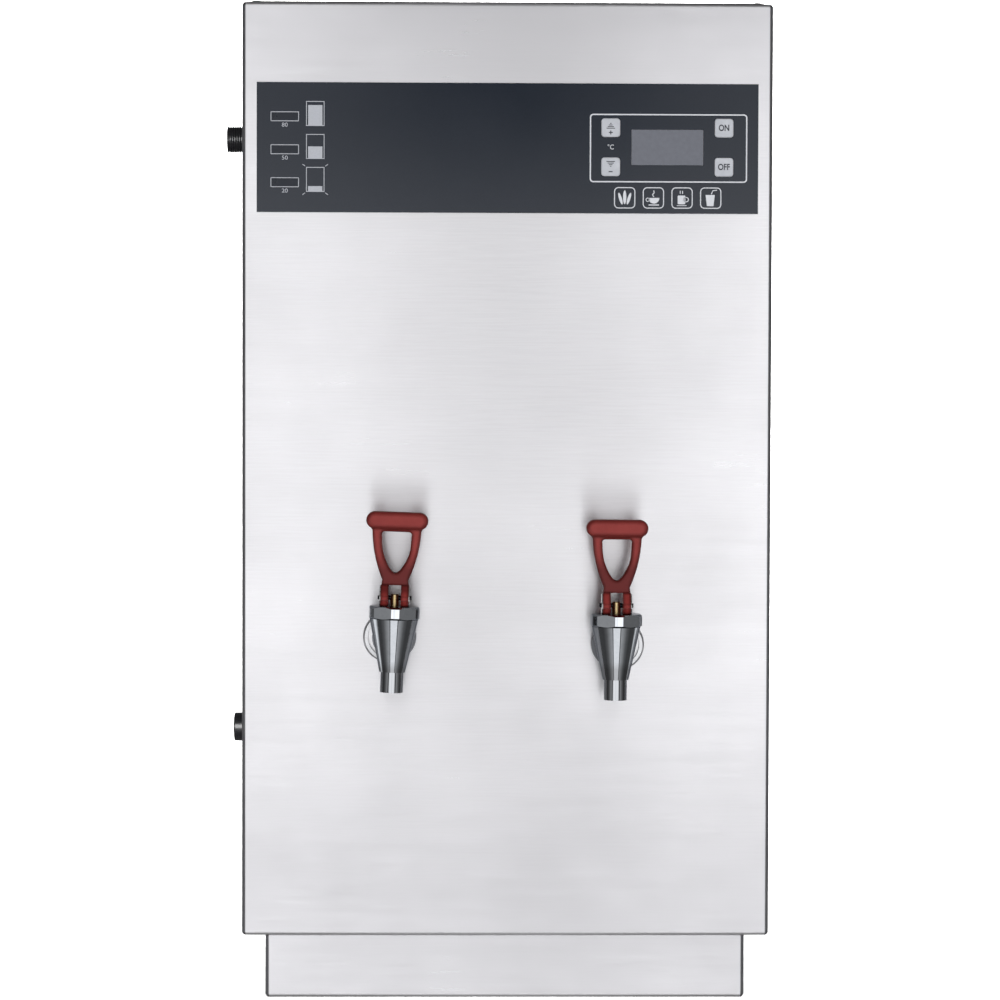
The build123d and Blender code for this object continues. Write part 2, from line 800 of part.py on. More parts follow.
def tap_body():
    """The plated casting: cone, spout, shoulder and threaded shank in one piece, hollow inside."""
    skirt_seat = skirt_foot - hole_clearance
    thread_radius = bonnet_skirt_radius + thread_clearance
    shank_end = tap_reach + sheet + shank_tail
    shoulder_back = tap_reach - ring_thickness
    solid = lathe(
        (0, spout_end), (spout_radius, spout_end), (spout_radius, body_foot), (body_foot_radius, body_foot),
        (body_top_radius, bonnet_base), (0, bonnet_base),
    )
    solid += rod_y(shank_radius, 0, shank_end, 0, 0)
    solid += rod_y(barb_radius, 0, shank_end + barb_length, 0, 0)
    solid += rod_y(shoulder_radius, shoulder_back - shoulder_thickness, shoulder_back, 0, 0)
    solid -= lathe(
        (0, spout_end - cut_past), (spout_bore_radius, spout_end - cut_past), (spout_bore_radius, seat_z),
        (cavity_foot_radius, seat_z), (bonnet_skirt_radius - cavity_wall, skirt_seat),
        (thread_radius, skirt_seat), (thread_radius, bonnet_base + cut_past), (0, bonnet_base + cut_past),
    )
    solid -= rod_y(shank_bore_radius, 0, shank_end + barb_length + cut_past, 0, 0)
    return solid


def tap_bonnet():
    """The hexagon nut that closes the body; its corners are turned and chamfered."""
    corner = bonnet_corner_radius
    face = bonnet_flats / 2 - bonnet_bevel
    bevel = corner - bonnet_flats / 2
    blank = lathe(
        (0, bonnet_base), (face, bonnet_base), (corner, bonnet_base + bevel), (corner, bonnet_top - bevel),
        (face, bonnet_top), (0, bonnet_top),
    )
    nut = blank & (Pos(0, 0, bonnet_base) * Rot(0, 0, bonnet_turn) * hexagon(bonnet_flats, bonnet_height))
    nut += rod_z(bonnet_skirt_radius, skirt_foot, bonnet_base)
    nut -= rod_z(spring_radius + spring_room, skirt_foot - cut_past, spring_roof)
    return nut - rod_z(stem_radius + 2 * thread_clearance, skirt_foot, bonnet_top + cut_past)


def tap_stem():
    """The rod that lifts the sealing cup, cross-drilled for the handle's pin."""
    stem = rod_z(stem_radius, seat_z + cup_height - cup_grip, pin_z + stem_above_pin)
    stem = chamfer(stem.edges().group_by(Axis.Z)[-1], stem_chamfer)
    return stem - rod_x(pin_radius + running_gap, -2 * stem_radius, 2 * stem_radius, 0, pin_z)


def tap_cup():
    """The silicone cup that seals on the seat, moulded round the stem's foot."""
    foot = seat_z + running_gap
    top = seat_z + cup_height
    cup = lathe(
        (0, foot), (cup_radius, foot), (cup_radius - cup_lip, (foot + top) / 2),
        (cup_radius - cup_shoulder, top), (0, top),
    )
    return cup - rod_z(stem_radius + press_gap, top - cup_grip - press_gap, top + cut_past)


def tap_spring():
    """Presses the cup down on its seat."""
    foot = seat_z + cup_height + tap_spring_gap
    return coil_spring(spring_radius, spring_wire, foot, spring_roof - tap_spring_gap, spring_turns)


def cam_outline(rear, crown):
    """The foot of a leg seen from the side, about the pin: its reach grows evenly with the angle of tilt."""
    reach = pin_height - cam_gap
    flank = []
    for step in range(cam_steps + 1):
        angle = radians(handle_tilt * step / cam_steps)
        support = reach + cam_rate * angle
        flank.append(
            (-support * sin(angle) - cam_rate * cos(angle), -support * cos(angle) + cam_rate * sin(angle))
        )
    nose = (flank[-1][0] + nose_run, flank[-1][1] + nose_rise)
    outline = Polyline((-rear, crown), (rear, crown), (rear, -reach), flank[0])
    outline += Spline(*flank)
    outline += Polyline(flank[-1], nose, (-rear, crown))
    return make_face(outline.edges())


def handle_leg(inner, outer, rear, crown):
    """A cam-footed leg between two distances from the handle's middle, made for both sides."""
    face = Plane.YZ * cam_outline(rear, crown)
    right = Pos(inner, 0, pin_z) * extrude(face, outer - inner)
    left = Pos(-outer, 0, pin_z) * extrude(face, outer - inner)
    return right, left


def handle_outline():
    """The lever seen from the front, without its grip's full depth: grip, two arms, neck and stirrup top."""
    top = bonnet_top + handle_height - grip_height / 2
    neck = bonnet_top + neck_height
    foot = bonnet_top + slot_top - stirrup_overlap
    waist_z = neck + (top - neck) * arm_waist_rise
    waist_x = neck_half_width + (arm_top_half_width - neck_half_width) * arm_waist_spread
    right = [
        Line((0, foot), (leg_half_width, foot)),
        Line((leg_half_width, foot), (neck_half_width, neck)),
        ThreePointArc((neck_half_width, neck), (waist_x, waist_z), (arm_top_half_width, top)),
        Line((arm_top_half_width, top), (0, top)),
        Line((0, top), (0, foot)),
    ]
    half = make_face(Wire(right))
    grip = Pos(0, top) * SlotOverall(grip_width, grip_height)
    outline = half + mirror(half, Plane.YZ) + grip
    under = [v for v in outline.vertices() if 0 < top - v.Y < grip_height / 2 and abs(v.X) > neck_half_width]
    return fillet(under, grip_fillet)


def finger_outline():
    """The opening between the arms: flat at the top, narrowing to a round foot."""
    top = bonnet_top + finger_top
    foot = bonnet_top + finger_foot
    waist = (finger_half_width * finger_waist, foot + (top - foot) * finger_waist_rise)
    side = Spline(
        (-finger_half_width, top), (-waist[0], waist[1]), (0, foot), waist, (finger_half_width, top),
        tangents=((finger_flare, -1), (finger_flare, 1)),
    )
    opening = make_face(Wire([side, Line(side @ 1, side @ 0)]))
    return fillet(opening.vertices().group_by(Axis.Y)[-1], finger_corner)


def tap_handle():
    """The moulded lever: a grip bar on two arms that meet in a neck, over two cam-footed legs."""
    frame = handle_outline() - finger_outline()
    arms = Pos(0, arm_depth / 2, 0) * extrude(Plane.XZ * frame, arm_depth)
    rims = arms.edges().filter_by(Axis.Y, reverse=True).filter_by(
        lambda edge: edge.center().Z > bonnet_top + neck_height - arm_rounding
    )
    arms = fillet(rims, arm_rounding)
    grip_z = bonnet_top + handle_height - grip_height / 2
    grip = extrude(Plane.XZ * Pos(0, grip_z) * SlotOverall(grip_width, grip_height), grip_depth)
    grip = Pos(0, grip_depth / 2, 0) * fillet(grip.edges().filter_by(Axis.Y, reverse=True), grip_rounding)
    slot = Plane.XZ * Pos(0, bonnet_top + slot_top / 2) * Rectangle(leg_gap, slot_top)
    arms -= Pos(0, arm_depth, 0) * extrude(slot, 2 * arm_depth)
    right, left = handle_leg(leg_gap / 2, leg_half_width, leg_rear, slot_top - pin_height)
    handle = arms + grip + right + left
    return handle - rod_x(pin_radius, -leg_half_width - cut_past, leg_half_width + cut_past, 0, pin_z)


def tap_pin_set():
    """The pivot pin and the two thin wear plates on the outside of the legs."""
    pin = rod_x(pin_radius, -pin_length / 2, pin_length / 2, 0, pin_z)
    pin = chamfer(pin.edges(), pin_chamfer)
    outer = leg_half_width + plate_thickness
    plates = handle_leg(leg_half_width, outer, leg_rear - plate_setback, plate_height - pin_height)
    hole = rod_x(pin_radius, -outer - cut_past, outer + cut_past, 0, pin_z)
    return Compound(children=[pin] + [plate - hole for plate in plates])


def tap_rings():
    """The loose plated rings between the taps' shoulders and the panel."""
    rings = []
    for x, z, _, outward in tap_centres.values():
        ring = lathe(
            (ring_bore_radius, 0), (ring_radius, 0), (ring_radius, ring_land),
            (ring_radius - ring_bevel, ring_thickness), (ring_bore_radius, ring_thickness),
        )
        rings.append(Pos(x + outward * ring_offset, front_y, z) * Rot(90, 0, 0) * ring)
    return Compound(children=rings)


def tap_locknuts():
    """The nuts behind the panel that clamp the taps."""
    nuts = []
    for x, z, _, _ in tap_centres.values():
        nut = Rot(-90, 0, 0) * hexagon(locknut_flats, locknut_thickness)
        nut = Pos(x, inner_front_y + seal_thickness, z) * nut
        nuts.append(nut - rod_y(shank_radius + thread_clearance, front_y, 0, x, z))
    return Compound(children=nuts)


# ------------------------------------------------------------------ boiler
def around(count, radius, start=0.0):
    """Evenly spaced places on a circle about the tank's axis."""
    angles = [radians(start + 360 * i / count) for i in range(count)]
    return [(radius * cos(angle), tank_y + radius * sin(angle)) for angle in angles]


lid_bolts = around(lid_bolt_count, lid_bolt_circle, 180 / lid_bolt_count)
heater_bolts = around(heater_bolt_count, heater_bolt_circle)


def tank_shell():
    """The boiler: a welded cylinder with a bolting rim, a heater boss and two tap stubs."""
    boss_top = tank_base + heater_boss_height
    blind_top = boss_top - bolt_floor
    hole = bolt_radius + bolt_clearance
    tank = tank_place * lathe(
        (0, tank_base), (tank_radius, tank_base), (tank_radius, tank_top - rim_thickness),
        (rim_radius, tank_top - rim_thickness), (rim_radius, tank_top), (0, tank_top),
    )
    for x, z, _, _ in tap_centres.values():
        tank += rod_y(barb_radius, tap_stub_front, tank_y, x, z)
    tank -= rod_z(tank_radius - tank_wall, tank_base + tank_wall, tank_top + cut_past, 0, tank_y)
    tank += rod_z(heater_flange_radius + boss_margin, tank_base, boss_top, 0, tank_y)
    tank -= rod_z(heater_port_radius, tank_base - cut_past, boss_top + cut_past, 0, tank_y)
    for x, z, _, _ in tap_centres.values():
        tank -= rod_y(barb_radius - tap_stub_wall, tap_stub_front - cut_past, tank_y, x, z)
    for x, y in lid_bolts:
        tank -= rod_z(hole, tank_top - rim_thickness - cut_past, tank_top + cut_past, x, y)
    for x, y in heater_bolts:
        tank -= rod_z(hole, tank_base - cut_past, blind_top, x, y)
    tank -= rod_x(drain_tube_radius + running_gap, left_x, -tank_radius / 3, inlet_y, drain_height)
    return tank


def tank_lid():
    """The bolted lid, with an inlet stub and the holes for the probes and the overflow."""
    below = lid_base - cut_past
    above = lid_top + cut_past
    stub_top = lid_top + stub_height
    lid = rod_z(rim_radius, lid_base, lid_top, 0, tank_y)
    lid += rod_z(inlet_stub_radius, lid_base, stub_top, inlet_stub_x, inlet_y)
    lid -= rod_z(inlet_stub_radius - stub_wall, below, stub_top + cut_past, inlet_stub_x, inlet_y)
    lid -= rod_z(probe_plug_radius + running_gap, below, above, 0, tank_y)
    lid -= rod_z(sensor_radius + running_gap, below, above, sensor_x, tank_y)
    lid -= rod_z(overflow_radius + running_gap, below, above, overflow_x, overflow_y)
    for x, y in lid_bolts:
        lid -= rod_z(bolt_radius + bolt_clearance, below, above, x, y)
    return lid


def flat_seals():
    """The lid gasket, the heater gasket and the washers behind the tap nuts and the inlet."""
    hole = bolt_radius + bolt_clearance
    lid_gasket = rod_z(rim_radius, tank_top, lid_base, 0, tank_y)
    lid_gasket -= rod_z(tank_radius - tank_wall, tank_top - cut_past, lid_base + cut_past, 0, tank_y)
    for x, y in lid_bolts:
        lid_gasket -= rod_z(hole, tank_top - cut_past, lid_base + cut_past, x, y)
    below = heater_gasket_base - cut_past
    heater_gasket = rod_z(heater_flange_radius, heater_gasket_base, tank_base, 0, tank_y)
    heater_gasket -= rod_z(heater_port_radius, below, tank_base + cut_past, 0, tank_y)
    for x, y in heater_bolts:
        heater_gasket -= rod_z(hole, below, tank_base + cut_past, x, y)
    washers = []
    for x, z, _, _ in tap_centres.values():
        washer = rod_y(locknut_flats / 2, inner_front_y, inner_front_y + seal_thickness, x, z)
        washers.append(washer - rod_y(shank_radius + thread_clearance, front_y, 0, x, z))
    washer_end = inner_left_x + seal_thickness
    inlet_washer = rod_x(inlet_shoulder_radius, inner_left_x, washer_end, inlet_y, inlet_height)
    inlet_washer -= rod_x(pipe_thread_radius + thread_clearance, left_x, 0, inlet_y, inlet_height)
    return Compound(children=[lid_gasket, heater_gasket, *washers, inlet_washer])


def tank_bolts():
    """Lid bolts with their nuts, and the bolts that hold the heater."""
    solids = []
    nut_top = tank_top - rim_thickness
    nut_foot = nut_top - bolt_head
    lid_bolt = bolt(lid_top - nut_foot + bolt_tail)
    nut = hexagon(bolt_flats, bolt_head) - rod_z(bolt_radius + running_gap, -cut_past, bolt_head + cut_past)
    for x, y in lid_bolts:
        solids.append(Pos(x, y, lid_top) * lid_bolt)
        solids.append(Pos(x, y, nut_foot) * nut)
    heater_bolt = bolt(heater_flange_thickness + seal_thickness + heater_boss_height - bolt_floor - cut_past)
    for x, y in heater_bolts:
        solids.append(Pos(x, y, heater_flange_base) * Rot(180, 0, 0) * heater_bolt)
    return Compound(children=solids)


def tank_insulation():
    """The foam jacket, cut round the tap stubs and the drain."""
    low = tank_base + jacket_low_gap
    high = tank_top - jacket_high_gap
    jacket = rod_z(jacket_radius, low, high, 0, tank_y)
    jacket -= rod_z(tank_radius + jacket_gap, low - cut_past, high + cut_past, 0, tank_y)
    for x, z, _, _ in tap_centres.values():
        jacket -= rod_y(barb_radius + hose_wall + jacket_hole_gap, front_y, tank_y, x, z)
    return jacket - rod_x(drain_tube_radius + jacket_hole_gap, left_x, 0, inlet_y, drain_height)


def tank_cradle():
    """Four Z-shaped legs that stand the boiler on the cabinet floor."""
    legs = []
    half = cradle_width / 2
    t = cradle_sheet
    for side in (-1, 1):
        for y in (tank_y - cradle_y, tank_y + cradle_y):
            leg = slab(cradle_x - t, cradle_x, y - half, y + half, floor_top, tank_base)
            leg += slab(cradle_x - t, cradle_x + cradle_foot, y - half, y + half, floor_top, floor_top + t)
            leg += slab(cradle_x - cradle_foot, cradle_x, y - half, y + half, tank_base - t, tank_base)
            legs.append(leg if side > 0 else mirror(leg, Plane.YZ))
    return Compound(children=legs)


def element_legs():
    """Pairs of places where each hairpin passes through the heater flange."""
    pairs = []
    for i in range(element_count):
        angle = radians(90 + 360 * i / element_count)
        cx = element_ring * cos(angle)
        cy = tank_y + element_ring * sin(angle)
        tx = -sin(angle) * element_gap / 2
        ty = cos(angle) * element_gap / 2
        pairs.append(((cx - tx, cy - ty), (cx + tx, cy + ty)))
    return pairs


def heating_element():
    """Hairpin immersion heaters, with their cold ends below the flange."""
    low = heater_flange_base - element_tail
    bend_radius = element_gap / 2 - running_gap
    hairpins = []
    for i, (near, far) in enumerate(element_legs()):
        top = tank_base + element_height + i * element_stagger
        route = [(*near, low), (*near, top), (*far, top), (*far, low)]
        hairpins.append(pipe(route, element_radius, bend_radius))
    return Compound(children=hairpins)


def heater_flange():
    """The plate under the tank that the hairpins pass through."""
    below = heater_flange_base - cut_past
    above = heater_gasket_base + cut_past
    flange = rod_z(heater_flange_radius, heater_flange_base, heater_gasket_base, 0, tank_y)
    for pair in element_legs():
        for x, y in pair:
            flange -= rod_z(element_radius + running_gap, below, above, x, y)
    for x, y in heater_bolts:
        flange -= rod_z(bolt_radius + bolt_clearance, below, above, x, y)
    return flange


def level_probes():
    """A plastic plug in the lid with three sensing rods of different lengths."""
    foot = lid_base - probe_plug_depth
    top = lid_top + probe_plug_cap
    plug = rod_z(probe_plug_radius, foot, lid_top, 0, tank_y)
    plug += rod_z(probe_plug_radius + probe_plug_collar, lid_top, top, 0, tank_y)
    rods = []
    for (x, y), length in zip(around(len(probe_lengths), probe_circle), probe_lengths):
        plug -= rod_z(probe_rod_radius + running_gap, foot - cut_past, top + cut_past, x, y)
        rods.append(rod_z(probe_rod_radius, lid_base - length, top + probe_rod_tail, x, y))
    return Compound(children=[plug, *rods])


def temperature_probe():
    """The sensor pocket that hangs from the lid, with its nut."""
    probe = rod_z(sensor_radius, lid_base - sensor_length, lid_top + sensor_tail, sensor_x, tank_y)
    return probe + Pos(sensor_x, tank_y, lid_top) * hexagon(sensor_flats, sensor_nut)


def overflow_pipe():
    """Bent tube from the lid out through the rear panel: it vents steam and carries off any overfill."""
    route = [
        (overflow_x, overflow_y, lid_base - overflow_foot),
        (overflow_x, overflow_y, overflow_height),
        (overflow_x, rear_y + sheet + overflow_projection, overflow_height),
    ]
    bead_end = rear_y + sheet + bead_length
    bead = rod_y(bead_radius, rear_y + sheet, bead_end, overflow_x, overflow_height)
    bead -= rod_y(overflow_radius, rear_y, bead_end + cut_past, overflow_x, overflow_height)
    groove = rod_y(bead_radius, bead_end, bead_end + relief, overflow_x, overflow_height)
    groove -= rod_y(overflow_radius - relief_depth, rear_y, bead_end + cut_past, overflow_x, overflow_height)
    return pipe(route, overflow_radius, overflow_bend, overflow_radius - overflow_wall) + bead - groove


# ------------------------------------------------------------------ water inlet
def ridged_rod(radius, x0, x1, y, z):
    """A pipe thread as a row of ridges of the real pitch and depth, along X."""
    solid = rod_x(radius, x0, x1, y, z)
    half = pipe_thread_pitch * thread_groove / 2
    flank = half / pipe_thread_depth  # how fast a groove widens outwards
    mouth = half + flank * cut_past
    groove = lathe((radius + cut_past, -mouth), (radius + cut_past, mouth), (radius - pipe_thread_depth, 0))
    for i in range(1, int((x1 - x0) / pipe_thread_pitch)):
        solid -= Pos(x0 + pipe_thread_pitch * i, y, z) * Rot(0, 90, 0) * groove
    return solid


def inlet_nipple():
    """The threaded water inlet that stands out of the left side."""
    outer = left_x - inlet_projection
    shoulder_x = inner_left_x + seal_thickness
    inner = shoulder_x + inlet_shoulder
    thread_end = left_x - thread_runout
    nipple = ridged_rod(pipe_thread_radius, outer, thread_end, inlet_y, inlet_height)
    nipple = chamfer(nipple.edges().group_by(Axis.X)[0], inlet_chamfer)
    nipple += rod_x(pipe_thread_radius - relief_depth, thread_end, inner, inlet_y, inlet_height)
    nipple += rod_x(inlet_shoulder_radius, shoulder_x, inner, inlet_y, inlet_height)
    return nipple - rod_x(inlet_bore_radius, outer - cut_past, inner + cut_past, inlet_y, inlet_height)


def inlet_valve_body():
    """The fill valve: a flange behind the side sheet, a straight body, an outlet tail and the core tube."""
    tail_end = valve_end_x + valve_tail
    pocket_end = inner_left_x + seal_thickness + inlet_shoulder + thread_clearance
    valve = slab(
        inner_left_x + running_gap, valve_face_x,
        inlet_y - valve_plate_width / 2, inlet_y + valve_plate_width / 2,
        inlet_height - valve_plate_height / 2, inlet_height + valve_plate_height / 2,
    )
    valve += rod_x(valve_radius, valve_face_x, valve_end_x, inlet_y, inlet_height)
    valve += rod_x(inlet_stub_radius, valve_end_x, tail_end, inlet_y, inlet_height)
    valve += rod_z(core_radius, inlet_height, core_top + core_wall, valve_mid_x, inlet_y)
    valve -= rod_x(inlet_shoulder_radius + thread_clearance, left_x, pocket_end, inlet_y, inlet_height)
    valve -= rod_x(valve_bore_radius, left_x, tail_end + cut_past, inlet_y, inlet_height)
    valve -= rod_z(core_radius - core_wall, core_base, core_top, valve_mid_x, inlet_y)
    for y in valve_screws:
        valve -= rod_x(screw_radius + running_gap, left_x, inner_left_x + valve_plate, y, inlet_height)
    return valve


def solenoid_coil():
    """The moulded coil that slips over the core tube."""
    width, reach, height = coil_socket
    face = inlet_y + coil_width / 2
    coil = Pos(valve_mid_x, inlet_y, coil_base + coil_height / 2) * fillet(
        Box(coil_width, coil_width, coil_height).edges().filter_by(Axis.Z), coil_corner
    )
    coil += slab(
        valve_mid_x - width / 2, valve_mid_x + width / 2, face - cut_past, face + reach,
        coil_base + coil_socket_lift, coil_base + coil_socket_lift + height,
    )
    hole = core_radius + thread_clearance
    return coil - rod_z(hole, coil_base - cut_past, coil_base + coil_height + cut_past, valve_mid_x, inlet_y)


def solenoid_plunger():
    """The iron plunger that the coil lifts to let water in."""
    return rod_z(plunger_radius, core_base + running_gap, core_base + plunger_length, valve_mid_x, inlet_y)


def solenoid_spring():
    """Closes the fill valve when the coil is off."""
    foot = core_base + plunger_length + valve_spring_gap
    spring = coil_spring(
        valve_spring_radius, valve_spring_wire, foot, core_top - valve_spring_gap, valve_spring_turns
    )
    return Pos(valve_mid_x, inlet_y, 0) * spring


def silicone_hoses():
    """Short sleeves from the tap tails to the tank, and the bent fill hose from the valve to the lid."""
    hoses = []
    start = inner_front_y + shank_tail + seal_thickness
    end = tap_stub_front + hose_overlap
    for x, z, _, _ in tap_centres.values():
        sleeve = rod_y(barb_radius + hose_wall, start, end, x, z)
        hoses.append(sleeve - rod_y(barb_radius + hose_fit, start - cut_past, end + cut_past, x, z))
    route = [
        (valve_end_x + fill_hose_gap, inlet_y, inlet_height),
        (inlet_stub_x, inlet_y, inlet_height),
        (inlet_stub_x, inlet_y, lid_top + stub_height - hose_overlap),
    ]
    hoses.append(pipe(route, inlet_stub_radius + hose_wall, fill_hose_bend, inlet_stub_radius + hose_fit))
    return Compound(children=hoses)


# ------------------------------------------------------------------ drain
def drain_pipe():
    """The tube welded to the foot of the tank, ending in a threaded socket flush with the left side."""
    tank_wall_x = -sqrt(tank_radius**2 - (inlet_y - tank_y) ** 2)
    tube_end = tank_wall_x + drain_intrusion
    bore_end = left_x + plug_shank_length + drain_relief
    tube = rod_x(drain_tube_radius, left_x, tube_end, inlet_y, drain_height)
    tube += rod_x(drain_socket_radius, left_x, left_x + drain_socket_length, inlet_y, drain_height)
    tube -= rod_x(drain_tube_radius - drain_wall, left_x, tube_end + cut_past, inlet_y, drain_height)
    return tube - rod_x(pipe_thread_radius, left_x - cut_past, bore_end, inlet_y, drain_height)


def drain_plug():
    """The black screw plug, with a rounded head."""
    face = left_x - plug_seal_thickness
    head = rod_x(plug_head_radius, face - plug_head_length, face, inlet_y, drain_height)
    head = fillet(head.edges().group_by(Axis.X)[0], plug_rounding)
    return head + rod_x(plug_shank_radius, face, left_x + plug_shank_length, inlet_y, drain_height)


def drain_plug_seal():
    """The flat washer under the plug's head."""
    face = left_x - plug_seal_thickness
    seal = rod_x(plug_head_radius, face, left_x, inlet_y, drain_height)
    hole = plug_shank_radius + thread_clearance
    return seal - rod_x(hole, face - cut_past, left_x + cut_past, inlet_y, drain_height)


# ------------------------------------------------------------------ power
def terminal_block():
    """The supply's terminal block on the cabinet floor, near the cable entry."""
    top = floor_top + block_height
    block = slab(
        block_x - block_half_width, block_x + block_half_width,
        block_y - block_half_depth, block_y + block_half_depth, floor_top, top,
    )
    for i in range(block_ways):
        block -= rod_z(block_hole_radius, top - block_hole_depth, top + cut_past, block_way(i), block_y)
    return block


def block_way(i):
    """Place along X of one way of the terminal block."""
    return block_x - block_half_width + (i + 0.5) * 2 * block_half_width / block_ways


def contactor():
    """Switches the heaters; it clips to a rail on the floor."""
    rail = slab(
        contactor_x - rail_half_length, contactor_x + rail_half_length,
        contactor_y - rail_half_depth, contactor_y + rail_half_depth, floor_top, floor_top + rail_height,
    )
    body = slab(
        contactor_x - contactor_half_width, contactor_x + contactor_half_width,
        contactor_y - contactor_half_depth, contactor_y + contactor_half_depth,
        floor_top + rail_height, contactor_top,
    )
    for i in (-1, 0, 1):
        for side in (-1, 1):
            body -= rod_z(
                pole_radius, contactor_top - pole_depth, contactor_top + cut_past,
                contactor_x + i * pole_pitch, contactor_y + side * pole_row,
            )
    return Compound(children=[rail, body])


def cable_gland():
    """The clamp that the supply cable enters by, low on the rear panel."""
    face = rear_y + sheet
    inner = rear_y - gland_thread_length
    side_end = gland_hex_thickness + gland_dome_side
    shoulder_end = side_end + gland_dome_shoulder
    dome_end = shoulder_end + gland_dome_end
    place = Pos(gland_x, face, gland_height) * Rot(-90, 0, 0)
    gland = rod_y(gland_thread_radius, inner, face, gland_x, gland_height)
    gland += place * hexagon(gland_hex, gland_hex_thickness)
    gland += place * lathe(
        (0, gland_hex_thickness), (gland_dome_radius, gland_hex_thickness), (gland_dome_radius, side_end),
        (gland_dome_radius - gland_dome_step, shoulder_end), (gland_dome_mouth, dome_end), (0, dome_end),
    )
    gland -= rod_y(gland_bore_radius, inner - cut_past, face + dome_end + cut_past, gland_x, gland_height)
    nut_face = rear_y - gland_nut_gap
    nut = Pos(gland_x, nut_face, gland_height) * Rot(90, 0, 0) * hexagon(gland_nut_hex, gland_hex_thickness)
    nut -= rod_y(gland_thread_radius + thread_clearance, inner, face, gland_x, gland_height)
    return Compound(children=[gland, nut])


def earth_stud():
    """The bonding stud beside the cable entry, with its nut."""
    face = rear_y + sheet
    head_face = rear_y - running_gap
    thread_start = face + earth_nut + relief
    stud = rod_y(earth_radius - relief_depth, head_face, thread_start, earth_x, gland_height)
    stud += rod_y(earth_radius, thread_start, face + earth_length, earth_x, gland_height)
    stud += rod_y(earth_head_radius, head_face - earth_head, head_face, earth_x, gland_height)
    nut = Pos(earth_x, face, gland_height) * Rot(-90, 0, 0) * hexagon(earth_nut_flats, earth_nut)
    nut -= rod_y(earth_radius - running_gap, rear_y, face + earth_nut + cut_past, earth_x, gland_height)
    return Compound(children=[stud, nut])


def thermal_cutout():
    """The boil-dry cut-out behind the rear panel, with a bracket to the floor."""
    front = rear_y - cutout_depth
    low_x = cutout_x - bracket_half_width
    high_x = cutout_x + bracket_half_width
    back = front + bracket_sheet
    body = rod_y(cutout_radius, front, rear_y - cutout_gap, cutout_x, cutout_height)
    body += slab(low_x, high_x, front, back, floor_top, cutout_height)
    body += slab(low_x, high_x, front - bracket_foot, back, floor_top, floor_top + bracket_sheet)
    return body - rod_y(button_radius + hole_clearance, front + cutout_wall, rear_y, cutout_x, cutout_height)


def cutout_reset_button():
    """Pressed from behind the urn to reset the cut-out."""
    inner = rear_y - cutout_depth + cutout_wall + button_travel + button_slack
    button = rod_y(button_radius, inner, rear_y + sheet + button_proud, cutout_x, cutout_height)
    return fillet(button.edges().group_by(Axis.Y)[-1], button_rounding)


def wiring_loom():
    """The contactor's feed, the heater leads and the control harness up the rear left corner."""
    pole_foot = contactor_top - pole_depth
    clear = 5 * harness_radius  # height of a bend above a terminal
    feed_x = contactor_x + contactor_half_width + 2 * clear
    block_foot = floor_top + block_height - block_hole_depth
    feed_low = floor_top + block_height + clear
    feed_high = contactor_top + clear
    rear_row = contactor_y + pole_row
    feed = pipe(
        [
            (block_way(0), block_y, block_foot), (block_way(0), block_y, feed_low),
            (feed_x, block_y, feed_low), (feed_x, rear_row, feed_high),
            (contactor_x, rear_row, feed_high), (contactor_x, rear_row, pole_foot),
        ],
        feed_radius, 2 * feed_radius,
    )
    start_x = contactor_x - pole_pitch
    corner_x = left_x + harness_inset
    corner_y = rear_y - harness_inset
    rise = top_z - harness_drop
    drop_y = board_back_y + harness_inset
    plug_z = keypad_z + board_height / 4
    harness = pipe(
        [
            (start_x, rear_row, pole_foot), (start_x, rear_row, contactor_top + 2 * clear),
            (corner_x, corner_y, contactor_top + 4 * clear), (corner_x, corner_y, rise),
            (corner_x, drop_y, rise), (keypad_x, drop_y, rise), (keypad_x, drop_y, plug_z),
            (keypad_x, board_back_y, plug_z),
        ],
        harness_radius, 3 * harness_radius,
    )
    foot = heater_flange_base - element_tail
    front_row = contactor_y - pole_row
    leads = []
    for i, (near, far) in enumerate(element_legs()):
        pole_x = contactor_x + (i - 1) * pole_pitch
        low = foot - (i + 2) * lead_step
        leads.append(pipe(
            [(*near, foot), (*near, low), (pole_x, near[1], low), (pole_x, front_row, low),
             (pole_x, front_row, pole_foot)],
            lead_radius, 2 * lead_radius,
        ))
    return Compound(children=[feed, harness, *leads])


